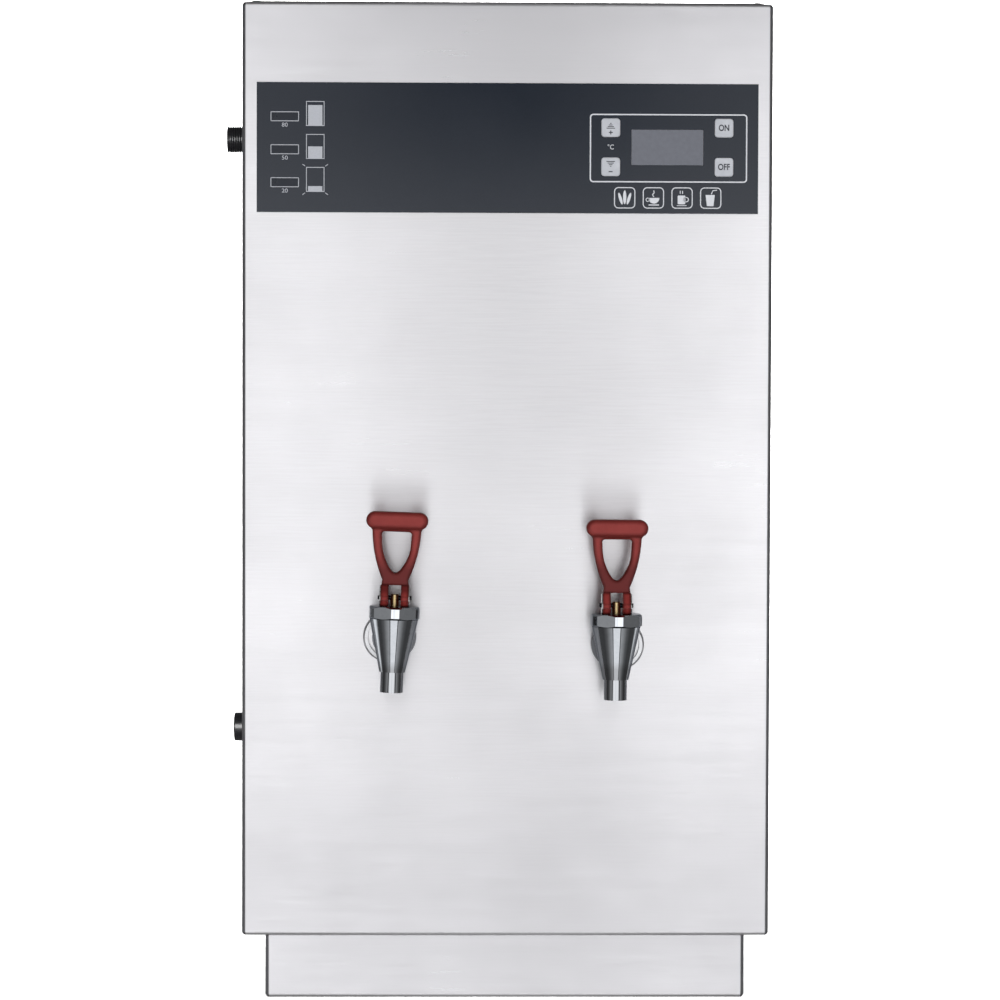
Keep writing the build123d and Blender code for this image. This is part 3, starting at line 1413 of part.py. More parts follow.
# ------------------------------------------------------------------ every sub-part by name
def sub_parts():
    yield "front_shell", front_shell()
    yield "top_cover", top_cover()
    yield "rear_panel", rear_panel()
    yield "cabinet_floor", cabinet_floor()
    yield "plinth", plinth()
    yield "machine_screws", machine_screws()
    yield "control_fascia", control_fascia()
    yield "display_window", lens(display_width, display_height, keypad_x, keypad_z)
    yield "level_windows", level_windows()
    for name, (x, z) in key_places.items():
        yield name, key(x, z)
    yield "control_board", control_board()
    yield "display_module", display_module()
    yield "board_standoffs", board_standoffs()
    yield "lamp_board", lamp_board()
    for side in tap_centres:
        place = tap_place(side)
        yield f"{side}_tap_body", place * tap_body()
        yield f"{side}_tap_bonnet", place * tap_bonnet()
        yield f"{side}_tap_stem", place * tap_stem()
        yield f"{side}_tap_cup", place * tap_cup()
        yield f"{side}_tap_spring", place * tap_spring()
        yield f"{side}_tap_handle", place * tap_handle()
        yield f"{side}_tap_pin_set", place * tap_pin_set()
    yield "tap_rings", tap_rings()
    yield "tap_locknuts", tap_locknuts()
    yield "tank_shell", tank_shell()
    yield "tank_lid", tank_lid()
    yield "flat_seals", flat_seals()
    yield "tank_bolts", tank_bolts()
    yield "tank_insulation", tank_insulation()
    yield "tank_cradle", tank_cradle()
    yield "heating_element", heating_element()
    yield "heater_flange", heater_flange()
    yield "level_probes", level_probes()
    yield "temperature_probe", temperature_probe()
    yield "overflow_pipe", overflow_pipe()
    yield "inlet_nipple", inlet_nipple()
    yield "inlet_valve_body", inlet_valve_body()
    yield "solenoid_coil", solenoid_coil()
    yield "solenoid_plunger", solenoid_plunger()
    yield "solenoid_spring", solenoid_spring()
    yield "silicone_hoses", silicone_hoses()
    yield "drain_pipe", drain_pipe()
    yield "drain_plug", drain_plug()
    yield "drain_plug_seal", drain_plug_seal()
    yield "terminal_block", terminal_block()
    yield "contactor", contactor()
    yield "cable_gland", cable_gland()
    yield "earth_stud", earth_stud()
    yield "thermal_cutout", thermal_cutout()
    yield "cutout_reset_button", cutout_reset_button()
    yield "wiring_loom", wiring_loom()


os.makedirs("parts", exist_ok=True)
for node, shape in sub_parts():
    export_step(shape, f"parts/{node}.step")
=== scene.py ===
"""Looks of a counter-top hot water urn: brushed steel cabinet, dark control fascia and two red lever taps."""
import bmesh
import bpy
import json
from math import cos, pi, radians, sin
from mathutils import Matrix, Vector


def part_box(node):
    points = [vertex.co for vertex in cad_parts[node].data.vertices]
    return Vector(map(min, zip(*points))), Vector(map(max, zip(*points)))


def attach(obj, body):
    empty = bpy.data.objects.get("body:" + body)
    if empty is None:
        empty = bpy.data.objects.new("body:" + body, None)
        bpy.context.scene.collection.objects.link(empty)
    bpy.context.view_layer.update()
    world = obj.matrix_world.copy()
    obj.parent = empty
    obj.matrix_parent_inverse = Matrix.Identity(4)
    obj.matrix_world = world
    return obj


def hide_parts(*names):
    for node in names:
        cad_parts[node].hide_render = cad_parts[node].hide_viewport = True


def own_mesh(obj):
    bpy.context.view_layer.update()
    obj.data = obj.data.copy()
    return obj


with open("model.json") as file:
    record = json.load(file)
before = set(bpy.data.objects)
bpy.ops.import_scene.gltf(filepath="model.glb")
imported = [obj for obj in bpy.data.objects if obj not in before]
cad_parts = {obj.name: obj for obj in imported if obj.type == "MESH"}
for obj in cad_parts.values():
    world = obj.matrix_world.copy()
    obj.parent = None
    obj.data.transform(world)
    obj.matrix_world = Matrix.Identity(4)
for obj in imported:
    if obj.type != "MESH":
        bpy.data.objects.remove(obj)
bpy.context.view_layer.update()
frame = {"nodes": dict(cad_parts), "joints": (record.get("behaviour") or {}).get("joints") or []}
nodes = frame["nodes"]

# ---------------------------------------------------------------- camera
# It stands square to the cabinet's front, a little to the user's left of its middle and above the taps,
# and looks down by under two degrees.
camera_place = Vector((-0.040, -2.370, 0.449))
camera_yaw = radians(0.91)  # towards the user's right
camera_pitch = radians(1.775)  # downwards
camera_roll = radians(0.176)
camera_lens = 104.86

ahead = Vector((sin(camera_yaw) * cos(camera_pitch), cos(camera_yaw) * cos(camera_pitch), -sin(camera_pitch)))
level = Vector((cos(camera_yaw), -sin(camera_yaw), 0.0))
upright = level.cross(ahead)
rightward = level * cos(camera_roll) + upright * sin(camera_roll)
upward = upright * cos(camera_roll) - level * sin(camera_roll)
camera = bpy.data.objects.new("camera", bpy.data.cameras.new("camera"))
camera.data.lens = camera_lens
camera.data.sensor_width = 36.0
camera.data.clip_end = 50.0
camera_turn = Matrix((rightward, upward, -ahead)).transposed().to_4x4()
camera.matrix_world = Matrix.Translation(camera_place) @ camera_turn
bpy.context.scene.collection.objects.link(camera)
bpy.context.scene.camera = camera

# ---------------------------------------------------------------- studio
# A white paper sweep under and behind the urn, lit from above, and a soft lamp for the plastics. Metal sees
# only the room: a white screen in front, dark at its sides with one dim card, a dark band above.
sweep_reach = 7.0
sweep_back = 3.5
sweep_height = 6.0
sweep_bend = 1.6
paper_white = (0.95, 0.95, 0.95, 1.0)
fade_from, fade_to = 0.9, 2.4  # from the urn's foot, where the paper fades to plain white

sweep_mesh = bmesh.new()
bmesh.ops.create_grid(sweep_mesh, x_segments=1, y_segments=1, size=sweep_reach)
bmesh.ops.translate(sweep_mesh, vec=(0, sweep_back - sweep_reach, 0), verts=sweep_mesh.verts)
back_edge = [e for e in sweep_mesh.edges if all(v.co.y > sweep_back - 0.01 for v in e.verts)]
risen = bmesh.ops.extrude_edge_only(sweep_mesh, edges=back_edge)["geom"]
bmesh.ops.translate(
    sweep_mesh, vec=(0, 0, sweep_height), verts=[v for v in risen if isinstance(v, bmesh.types.BMVert)]
)
bmesh.ops.bevel(
    sweep_mesh, geom=back_edge, offset=sweep_bend, affect="EDGES", segments=16, profile=0.5, material=-1
)
paper = bpy.data.materials.new("sweep_paper")
paper.use_nodes = True
paper_shader = paper.node_tree.nodes["Principled BSDF"]
paper_shader.inputs["Base Color"].default_value = paper_white
paper_shader.inputs["Roughness"].default_value = 0.9
paper_shader.inputs["Emission Color"].default_value = paper_white
paper_place = paper.node_tree.nodes.new("ShaderNodeTexCoord")
paper_far = paper.node_tree.nodes.new("ShaderNodeVectorMath")
paper_far.operation = "LENGTH"
paper_glow = paper.node_tree.nodes.new("ShaderNodeMapRange")
paper_glow.inputs["From Min"].default_value = fade_from
paper_glow.inputs["From Max"].default_value = fade_to
paper.node_tree.links.new(paper_place.outputs["Object"], paper_far.inputs[0])
paper.node_tree.links.new(paper_far.outputs["Value"], paper_glow.inputs["Value"])
paper.node_tree.links.new(paper_glow.outputs["Result"], paper_shader.inputs["Emission Strength"])
sweep = bpy.data.objects.new("paper_sweep", bpy.data.meshes.new("paper_sweep"))
sweep_mesh.to_mesh(sweep.data)
sweep_mesh.free()
sweep.data.polygons.foreach_set("use_smooth", [True] * len(sweep.data.polygons))
sweep.data.materials.append(paper)
sweep.visible_glossy = False
sweep.visible_diffuse = False
bpy.context.scene.collection.objects.link(sweep)

paper_only = bpy.data.collections.new("paper_only")
paper_only.objects.link(sweep)
nylon_only = bpy.data.collections.new("nylon_only")
for name in ("inlet_nipple", "drain_plug", "cable_gland"):
    nylon_only.objects.link(nodes[name])


def soft_light(name, place, aim, width, height, power, lit_only=None, sheen_only=False):
    """A soft lamp that glossy skins don't mirror, or that they only mirror; it may be kept to some pieces."""
    lamp = bpy.data.lights.new(name, "AREA")
    lamp.shape = "RECTANGLE"
    lamp.size = width
    lamp.size_y = height
    lamp.energy = power
    holder = bpy.data.objects.new(name, lamp)
    holder.location = place
    holder.rotation_euler = (Vector(aim) - Vector(place)).to_track_quat("-Z", "Y").to_euler()
    holder.visible_glossy = sheen_only
    holder.visible_diffuse = not sheen_only
    holder.light_linking.receiver_collection = lit_only
    bpy.context.scene.collection.objects.link(holder)


soft_light("plastics_light", (-0.3, -3.2, 0.36), (0.0, 0.0, 0.4), 1.2, 0.7, 62)
soft_light("nylon_light", (-0.5, -2.6, 0.60), (-0.2, 0.0, 0.4), 0.8, 1.3, 80, nylon_only, sheen_only=True)
soft_light("overhead_light", (0.0, 0.2, 3.2), (0.0, 0.2, 0.0), 4.0, 4.0, 300, paper_only)
soft_light("floor_light", (0.0, -0.9, 1.2), (0.0, 0.1, 0.0), 3.0, 1.6, 60, paper_only)
soft_light("sweep_light", (0.0, 1.2, 2.6), (0.0, 3.5, 1.2), 5.0, 1.2, 220, paper_only)


def wire(tree, *pairs):
    for start, end in pairs:
        tree.links.new(start, end)


def math_node(tree, operation, first=0.0, second=0.0):
    """A Math node; each operand is a number or another node's output."""
    node = tree.nodes.new("ShaderNodeMath")
    node.operation = operation
    for socket, value in zip(node.inputs, (first, second)):
        if isinstance(value, (int, float)):
            socket.default_value = value
        else:
            tree.links.new(value, socket)
    return node.outputs["Value"]


def grey_ramp(tree, value, stops):
    """Greys along a value that runs from 0 to 1."""
    ramp = tree.nodes.new("ShaderNodeValToRGB")
    for _ in stops[2:]:
        ramp.color_ramp.elements.new(1.0)
    for element, (place, grey) in zip(ramp.color_ramp.elements, stops):
        element.position = place
        element.color = (grey, grey, grey * 1.02, 1.0)
    tree.links.new(value, ramp.inputs["Fac"])
    return ramp.outputs["Color"]


def mix_colours(tree, mask, first, second):
    """Two colours or outputs, mixed by a mask."""
    mix = tree.nodes.new("ShaderNodeMix")
    mix.data_type = "RGBA"
    for socket, colour in (("A", first), ("B", second)):
        if isinstance(colour, tuple):
            mix.inputs[socket].default_value = (*colour, 1.0)
        else:
            tree.links.new(colour, mix.inputs[socket])
    tree.links.new(mask, mix.inputs["Factor"])
    return mix.outputs["Result"]


def span_mask(tree, value, start, end):
    """0 at the start of a span of the value and 1 at its end."""
    span = tree.nodes.new("ShaderNodeMapRange")
    span.inputs["From Min"].default_value = start
    span.inputs["From Max"].default_value = end
    tree.links.new(value, span.inputs["Value"])
    return span.outputs["Result"]


world = bpy.data.worlds.new("studio")
world.use_nodes = True
room = world.node_tree
bpy.context.scene.world = world
towards = room.nodes.new("ShaderNodeTexCoord")
axes = room.nodes.new("ShaderNodeSeparateXYZ")
room.links.new(towards.outputs["Generated"], axes.inputs["Vector"])
forward = math_node(room, "MULTIPLY", axes.outputs["Y"], -1.0)
screen_turn = 0.0186  # the screen stands square to the camera, which is left of the urn's middle
turned = math_node(room, "SUBTRACT", math_node(room, "ARCTAN2", axes.outputs["X"], forward), screen_turn)
bearing = math_node(room, "ABSOLUTE", turned)
share = math_node(room, "DIVIDE", bearing, pi)  # 0 in front of the urn, 1 behind it
screen = grey_ramp(room, share, [
    (0.000, 1.86), (0.010, 1.88), (0.030, 2.20), (0.120, 2.16), (0.165, 1.04), (0.185, 0.08), (0.220, 0.08),
    (0.240, 0.62), (0.340, 0.30), (0.440, 0.10), (0.520, 0.07), (0.600, 0.16), (0.760, 0.20), (1.000, 0.25),
])
apron = grey_ramp(room, share, [
    (0.000, 1.42), (0.100, 1.42), (0.103, 0.04), (0.122, 0.04), (0.126, 0.62), (0.210, 0.42), (0.300, 0.17),
    (0.400, 0.08), (0.550, 0.09), (0.700, 0.14), (1.000, 0.30),
])
overhead = grey_ramp(room, share, [
    (0.000, 0.00), (0.006, 0.00), (0.023, 0.95), (0.042, 1.00), (0.070, 0.14), (0.450, 0.14), (0.700, 0.40),
    (1.000, 0.50),
])
height = axes.outputs["Z"]
skirting = grey_ramp(room, share, [
    (0.000, 0.86), (0.170, 0.86), (0.270, 1.60), (0.800, 1.40), (0.900, 0.35), (1.000, 0.30),
])
gap = mix_colours(room, span_mask(room, height, -0.13, -0.20), screen, skirting)
below = mix_colours(room, span_mask(room, height, -0.30, -0.34), gap, apron)
under = mix_colours(room, span_mask(room, height, -0.54, -0.62), below, (0.24, 0.24, 0.24))
above = mix_colours(room, span_mask(room, height, 0.046, 0.106), under, overhead)
ceiling = mix_colours(room, span_mask(room, height, 0.50, 0.65), above, (0.15, 0.15, 0.15))
seen = room.nodes.new("ShaderNodeLightPath")
shown = mix_colours(room, seen.outputs["Is Camera Ray"], ceiling, (1.0, 1.0, 1.0))
room.links.new(shown, room.nodes["Background"].inputs["Color"])
bpy.context.scene.view_settings.view_transform = "Standard"

# ---------------------------------------------------------------- casing
# One sheet of stainless steel wraps the front and sides; a cover, a slotted rear panel and a recessed plinth
# close it. All of it is brushed level with a faint haze; painted shade greys it high and low and on folds and
# edges.
brush_length = 28.0  # scratches per metre along the grain
brush_fineness = 850.0  # and across it


def new_effect(name, inputs, outputs):
    """An empty shader node group with its input values and its outputs."""
    group = bpy.data.node_groups.new(name, "ShaderNodeTree")
    for socket, kind, value in inputs:
        group.interface.new_socket(socket, in_out="INPUT", socket_type=kind).default_value = value
    for socket, kind in outputs:
        group.interface.new_socket(socket, in_out="OUTPUT", socket_type=kind)
    return group, group.nodes.new("NodeGroupInput"), group.nodes.new("NodeGroupOutput")


def build_grain():
    """Brushed lines: noise that is stretched along one axis, fine and coarse."""
    group, entry, result = new_effect(
        "brushed_grain",
        [("Stretch", "NodeSocketVector", (brush_length, brush_length, brush_fineness))],
        [("Tone", "NodeSocketFloat"), ("Height", "NodeSocketFloat")],
    )
    place = group.nodes.new("ShaderNodeTexCoord")
    fine_place = group.nodes.new("ShaderNodeVectorMath")
    fine_place.operation = "MULTIPLY"
    fine = group.nodes.new("ShaderNodeTexNoise")
    fine.inputs["Scale"].default_value = 1.0
    fine.inputs["Detail"].default_value = 4.0
    fine.inputs["Roughness"].default_value = 0.65
    coarse = group.nodes.new("ShaderNodeTexNoise")
    coarse.inputs["Scale"].default_value = 0.16
    coarse.inputs["Detail"].default_value = 2.0
    wire(
        group,
        (place.outputs["Object"], fine_place.inputs[0]),
        (entry.outputs["Stretch"], fine_place.inputs[1]),
        (fine_place.outputs["Vector"], fine.inputs["Vector"]),
        (fine_place.outputs["Vector"], coarse.inputs["Vector"]),
    )
    both = math_node(group, "MULTIPLY_ADD", fine.outputs["Fac"], 0.65)
    both.node.inputs[2].default_value = 0.0
    group.links.new(math_node(group, "MULTIPLY", coarse.outputs["Fac"], 0.35), both.node.inputs[2])
    wire(group, (both, result.inputs["Tone"]), (fine.outputs["Fac"], result.inputs["Height"]))
    return group


def build_haze():
    """Broad, soft blotches, as handling and polishing leave."""
    group, entry, result = new_effect(
        "handling_haze", [("Scale", "NodeSocketFloat", 9.0)], [("Haze", "NodeSocketFloat")]
    )
    place = group.nodes.new("ShaderNodeTexCoord")
    blotch = group.nodes.new("ShaderNodeTexNoise")
    blotch.inputs["Detail"].default_value = 5.0
    blotch.inputs["Roughness"].default_value = 0.6
    spread = group.nodes.new("ShaderNodeMapRange")
    spread.inputs["From Min"].default_value = 0.3
    spread.inputs["From Max"].default_value = 0.7
    wire(
        group,
        (place.outputs["Object"], blotch.inputs["Vector"]),
        (entry.outputs["Scale"], blotch.inputs["Scale"]),
        (blotch.outputs["Fac"], spread.inputs["Value"]),
        (spread.outputs["Result"], result.inputs["Haze"]),
    )
    return group


# Drives painted shade on the levers' rims and the steel's edges, and plain edge tones on other pieces.
def build_edges():
    """Where the surface turns sharply within a small radius: 1 on a corner, 0 on the flat."""
    group, entry, result = new_effect(
        "sharp_edges", [("Radius", "NodeSocketFloat", 0.0006), ("Least", "NodeSocketFloat", 0.90)],
        [("Edge", "NodeSocketFloat")],
    )
    rounded = group.nodes.new("ShaderNodeBevel")
    rounded.samples = 4
    surface = group.nodes.new("ShaderNodeNewGeometry")
    agree = group.nodes.new("ShaderNodeVectorMath")
    agree.operation = "DOT_PRODUCT"
    turn = group.nodes.new("ShaderNodeMapRange")
    turn.inputs["From Min"].default_value = 0.998
    wire(
        group,
        (entry.outputs["Radius"], rounded.inputs["Radius"]),
        (entry.outputs["Least"], turn.inputs["From Max"]),
        (rounded.outputs["Normal"], agree.inputs[0]),
        (surface.outputs["Normal"], agree.inputs[1]),
        (agree.outputs["Value"], turn.inputs["Value"]),
        (turn.outputs["Result"], result.inputs["Edge"]),
    )
    return group


grain_effect, haze_effect, edge_effect = build_grain(), build_haze(), build_edges()


def use_effect(tree, group, **values):
    node = tree.nodes.new("ShaderNodeGroup")
    node.node_tree = group
    for socket, value in values.items():
        node.inputs[socket].default_value = value
    return node


def new_finish(name, **sockets):
    """A material with the plain values of its shader; the name of a socket has _ for a space."""
    material = bpy.data.materials.new(name)
    material.use_nodes = True
    shader = material.node_tree.nodes["Principled BSDF"]
    for socket, value in sockets.items():
        shader.inputs[socket.replace("_", " ")].default_value = value
    return material, material.node_tree, shader


def spread_value(tree, mask, low, high):
    """A value between two, by a mask that runs from 0 to 1."""
    span = tree.nodes.new("ShaderNodeMapRange")
    span.inputs["To Min"].default_value = low
    span.inputs["To Max"].default_value = high
    tree.links.new(mask, span.inputs["Value"])
    return span.outputs["Result"]


def raise_surface(tree, shader, height, strength, distance):
    bump = tree.nodes.new("ShaderNodeBump")
    bump.inputs["Strength"].default_value = strength
    bump.inputs["Distance"].default_value = distance
    wire(tree, (height, bump.inputs["Height"]), (bump.outputs["Normal"], shader.inputs["Normal"]))
    return bump


def coat(material, *names):
    """Gives CAD nodes their finish."""
    for name in names:
        for slot in nodes[name].material_slots:
            slot.material = material


def hazed_finish(name, scale, dark, light, rough, **sockets):
    """A finish whose colour and roughness drift together in soft blotches."""
    material, tree, shader = new_finish(name, **sockets)
    haze = use_effect(tree, haze_effect, Scale=scale).outputs["Haze"]
    wire(
        tree,
        (mix_colours(tree, haze, dark, light), shader.inputs["Base Color"]),
        (spread_value(tree, haze, *rough), shader.inputs["Roughness"]),
    )
    return material


def axis_of(tree, kind, output, axis):
    """One axis of the place or the direction that a kind of node gives."""
    source = tree.nodes.new(kind)
    parts = tree.nodes.new("ShaderNodeSeparateXYZ")
    tree.links.new(source.outputs[output], parts.inputs["Vector"])
    return parts.outputs[axis]


# Painted shade on the brushed steel: greyer high and low by height, grey on folds and on sharp edges.
grey_above = (0.58, 0.75)  # the steel turns greyer from the first height to the second
grey_below = (0.28, 0.08)  # and, less, from the first of these down to the second
band_grey = (0.755, 0.75, 0.765)
fold_grey = (0.24, 0.24, 0.25)
rub_grey = (0.20, 0.20, 0.21)


def brushed_steel(name, dark, light, stretch, rough=(0.26, 0.30), turned=0.25, axis="Z", grazing=0.25):
    """Stainless sheet with a directional grain and a haze, and painted shade high and low, on edges and on
    folds.
    """
    material, tree, shader = new_finish(
        name, Metallic=1.0, Anisotropic=1.0, Anisotropic_Rotation=turned, Specular_Tint=(*[grazing] * 3, 1.0)
    )
    grain = use_effect(tree, grain_effect, Stretch=stretch)
    haze = use_effect(tree, haze_effect, Scale=7.0)
    edge = use_effect(tree, edge_effect, Radius=0.0007)
    lines = span_mask(tree, grain.outputs["Tone"], 0.36, 0.64)
    tone = math_node(tree, "ADD", math_node(tree, "MULTIPLY", lines, 0.85),
                     math_node(tree, "MULTIPLY", haze.outputs["Haze"], 0.15))
    colour = mix_colours(tree, tone, dark, light)
    # painted shade: sharp edges are painted grey
    dulled = math_node(tree, "MULTIPLY", edge.outputs["Edge"], 0.4)
    rubbed = mix_colours(tree, dulled, colour, rub_grey)
    # painted shade: the vertical folds are painted grey
    sideways = math_node(tree, "ABSOLUTE", axis_of(tree, "ShaderNodeNewGeometry", "True Normal", "X"))
    fold = math_node(
        tree, "MULTIPLY", span_mask(tree, sideways, 0.05, 0.16), span_mask(tree, sideways, 0.999, 0.99)
    )
    # painted shade: greyer towards the top and the bottom, by height
    up = axis_of(tree, "ShaderNodeTexCoord", "Object", "Z")
    grey_band = math_node(
        tree, "MAXIMUM", span_mask(tree, up, *grey_above),
        math_node(tree, "MULTIPLY", span_mask(tree, up, *grey_below), 0.75),
    )
    banded = mix_colours(tree, grey_band, rubbed, band_grey)
    tree.links.new(mix_colours(tree, fold, banded, fold_grey), shader.inputs["Base Color"])
    roughness = math_node(tree, "ADD", spread_value(tree, lines, *rough),
                          math_node(tree, "MULTIPLY", haze.outputs["Haze"], 0.05))
    tree.links.new(roughness, shader.inputs["Roughness"])
    raise_surface(tree, shader, grain.outputs["Height"], 0.035, 0.00003)
    lie = tree.nodes.new("ShaderNodeTangent")
    lie.direction_type = "RADIAL"
    lie.axis = axis
    tree.links.new(lie.outputs["Tangent"], shader.inputs["Tangent"])
    return material


casing_steel = brushed_steel(
    "brushed_casing_steel", (0.87, 0.865, 0.877), (0.965, 0.96, 0.97),
    (brush_length, brush_length, brush_fineness),
)
coat(casing_steel, "front_shell", "rear_panel", "plinth")
cover_steel = brushed_steel(
    "brushed_cover_steel", (0.78, 0.775, 0.785), (0.88, 0.875, 0.885),
    (brush_length, brush_fineness, brush_length), axis="Y", grazing=1.0,
)
# Painted shade: where the cover turns down from level it is painted near black.
cut_grey = (0.085, 0.085, 0.090)
cover_tree = cover_steel.node_tree
cover_shader = cover_tree.nodes["Principled BSDF"]
cover_colour = cover_shader.inputs["Base Color"].links[0].from_socket
cover_lie = math_node(
    cover_tree, "ABSOLUTE", axis_of(cover_tree, "ShaderNodeNewGeometry", "True Normal", "Z")
)
cut_edge = span_mask(cover_tree, cover_lie, 0.8, 0.3)
cover_tree.links.new(
    mix_colours(cover_tree, cut_edge, cover_colour, cut_grey), cover_shader.inputs["Base Color"]
)
coat(cover_steel, "top_cover")

# ---------------------------------------------------------------- fasteners and inner sheet
# Zinc-plated pan screws and hexagon bolts, faintly yellow in their recesses; the floor pan and the boiler's
# legs are bent from galvanised sheet, which shows dull crystal patches.
zinc, zinc_tree, zinc_shader = new_finish("zinc_plating", Metallic=1.0)
zinc_haze = use_effect(zinc_tree, haze_effect, Scale=420.0)
zinc_edge = use_effect(zinc_tree, edge_effect, Radius=0.0004)
zinc_mask = math_node(zinc_tree, "MAXIMUM", zinc_haze.outputs["Haze"], zinc_edge.outputs["Edge"])
wire(
    zinc_tree,
    (mix_colours(zinc_tree, zinc_mask, (0.50, 0.49, 0.45), (0.74, 0.74, 0.73)),
     zinc_shader.inputs["Base Color"]),
    (spread_value(zinc_tree, zinc_haze.outputs["Haze"], 0.22, 0.38), zinc_shader.inputs["Roughness"]),
)
coat(zinc, "machine_screws", "tank_bolts", "board_standoffs")

galvanised, galvanised_tree, galvanised_shader = new_finish("galvanised_sheet", Metallic=1.0)
spangle_place = galvanised_tree.nodes.new("ShaderNodeTexCoord")
spangle = galvanised_tree.nodes.new("ShaderNodeTexVoronoi")
spangle.inputs["Scale"].default_value = 130.0
crystal = galvanised_tree.nodes.new("ShaderNodeSeparateColor")
wire(
    galvanised_tree,
    (spangle_place.outputs["Object"], spangle.inputs["Vector"]),
    (spangle.outputs["Color"], crystal.inputs["Color"]),
    (mix_colours(galvanised_tree, crystal.outputs["Red"], (0.48, 0.50, 0.51), (0.62, 0.64, 0.66)),
     galvanised_shader.inputs["Base Color"]),
    (spread_value(galvanised_tree, crystal.outputs["Green"], 0.36, 0.52),
     galvanised_shader.inputs["Roughness"]),
)
coat(galvanised, "cabinet_floor", "tank_cradle")

# ---------------------------------------------------------------- fascia
# A polycarbonate overlay on a thin plate, printed dark slate from behind. Its skin is glossy with a fine
# speckle, and its rim is a shade lighter.
fascia_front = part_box("control_fascia")[0].y
fascia_print, fascia_tree, fascia_shader = new_finish("slate_overlay", Specular_IOR_Level=0.36)
fascia_haze = use_effect(fascia_tree, haze_effect, Scale=6.0)
fascia_edge = use_effect(fascia_tree, edge_effect, Radius=0.0005)
fascia_speck = use_effect(fascia_tree, haze_effect, Scale=2400.0)
fascia_tone = math_node(
    fascia_tree, "ADD", math_node(fascia_tree, "MULTIPLY", fascia_haze.outputs["Haze"], 0.5),
    math_node(fascia_tree, "MULTIPLY", fascia_speck.outputs["Haze"], 0.5),
)
fascia_colour = mix_colours(fascia_tree, fascia_tone, (0.010, 0.014, 0.022), (0.015, 0.020, 0.030))
wire(
    fascia_tree,
    (mix_colours(fascia_tree, fascia_edge.outputs["Edge"], fascia_colour, (0.020, 0.023, 0.030)),
     fascia_shader.inputs["Base Color"]),
    (spread_value(fascia_tree, fascia_haze.outputs["Haze"], 0.08, 0.12), fascia_shader.inputs["Roughness"]),
)
raise_surface(fascia_tree, fascia_shader, fascia_speck.outputs["Haze"], 0.10, 0.00002)
coat(fascia_print, "control_fascia")

# ---------------------------------------------------------------- windows and display
# Smoked windows let into the fascia: a wide one over the digit display and three small ones that light up
# with the water level. Behind them stand black housings.
smoked = hazed_finish(
    "smoked_display_window", 300.0, (0.118, 0.125, 0.147), (0.136, 0.143, 0.168), (0.38, 0.44),
)
coat(smoked, "display_window")
gauge_pane = hazed_finish(
    "dark_level_window", 90.0, (0.009, 0.012, 0.018), (0.014, 0.018, 0.026), (0.24, 0.36),
    Specular_IOR_Level=0.3,
)
coat(gauge_pane, "level_windows")

# ---------------------------------------------------------------- printed lines on the fascia
# Screen printing in white and a greyer tint: a white frame round the keys and the display, an outline and a
# tank symbol for each level window with its plain number, and four white drink signs in rounded squares.
ink_thickness = 0.00006
display_low, display_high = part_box("display_window")
keypad_x = (display_low.x + display_high.x) / 2
keypad_z = (display_low.z + display_high.z) / 2
windows_low, windows_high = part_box("level_windows")
window_x = (windows_low.x + windows_high.x) / 2
window_height = 0.0073
window_zs = [
    windows_high.z - window_height / 2, (windows_low.z + windows_high.z) / 2, windows_low.z + window_height / 2
]

ink = hazed_finish("pale_screen_print", 900.0, (0.37, 0.385, 0.42), (0.44, 0.455, 0.49), (0.45, 0.6))
white_ink = hazed_finish("white_screen_print", 900.0, (0.56, 0.575, 0.61), (0.64, 0.655, 0.69), (0.45, 0.6))


def draw_rounded(print_mesh, width, height, corner, x, z, line=0.0):
    """A rounded rectangle, drawn as a line of some width or filled."""
    verts = bmesh.ops.create_grid(print_mesh, x_segments=1, y_segments=1, size=0.5)["verts"]
    bmesh.ops.scale(print_mesh, vec=(width, height, 1), verts=verts)
    bmesh.ops.translate(print_mesh, vec=(x, z, 0), verts=verts)
    if corner:
        verts = bmesh.ops.bevel(
            print_mesh, geom=verts, offset=corner, affect="VERTICES", segments=6, profile=0.5, material=-1
        )["verts"]
    face = verts[0].link_faces[0]
    if line:
        bmesh.ops.inset_region(
            print_mesh, faces=[face], thickness=line, use_even_offset=True, use_boundary=True
        )
        bmesh.ops.delete(print_mesh, geom=[face], context="FACES")


def draw_disc(print_mesh, radius, x, z, stretch=(1, 1), line=0.0, turn=0.0, sides=28):
    """A round or oval dot, or with a line's width a ring."""
    verts = bmesh.ops.create_circle(print_mesh, cap_ends=True, radius=radius, segments=sides)["verts"]
    bmesh.ops.scale(print_mesh, vec=(*stretch, 1), verts=verts)
    bmesh.ops.rotate(print_mesh, cent=(0, 0, 0), matrix=Matrix.Rotation(turn, 3, "Z"), verts=verts)
    bmesh.ops.translate(print_mesh, vec=(x, z, 0), verts=verts)
    if line:
        face = verts[0].link_faces[0]
        bmesh.ops.inset_region(
            print_mesh, faces=[face], thickness=line, use_even_offset=True, use_boundary=True
        )
        bmesh.ops.delete(print_mesh, geom=[face], context="FACES")


def draw_bar(print_mesh, start, end, width):
    """A straight stroke between two points."""
    along = Vector(end) - Vector(start)
    verts = bmesh.ops.create_grid(print_mesh, x_segments=1, y_segments=1, size=0.5)["verts"]
    bmesh.ops.scale(print_mesh, vec=(along.length, width, 1), verts=verts)
    turn = Matrix.Rotation(Vector((1, 0)).angle_signed(along) * -1, 3, "Z")
    bmesh.ops.rotate(print_mesh, cent=(0, 0, 0), matrix=turn, verts=verts)
    middle = (Vector(start) + Vector(end)) / 2
    bmesh.ops.translate(print_mesh, vec=(middle.x, middle.y, 0), verts=verts)


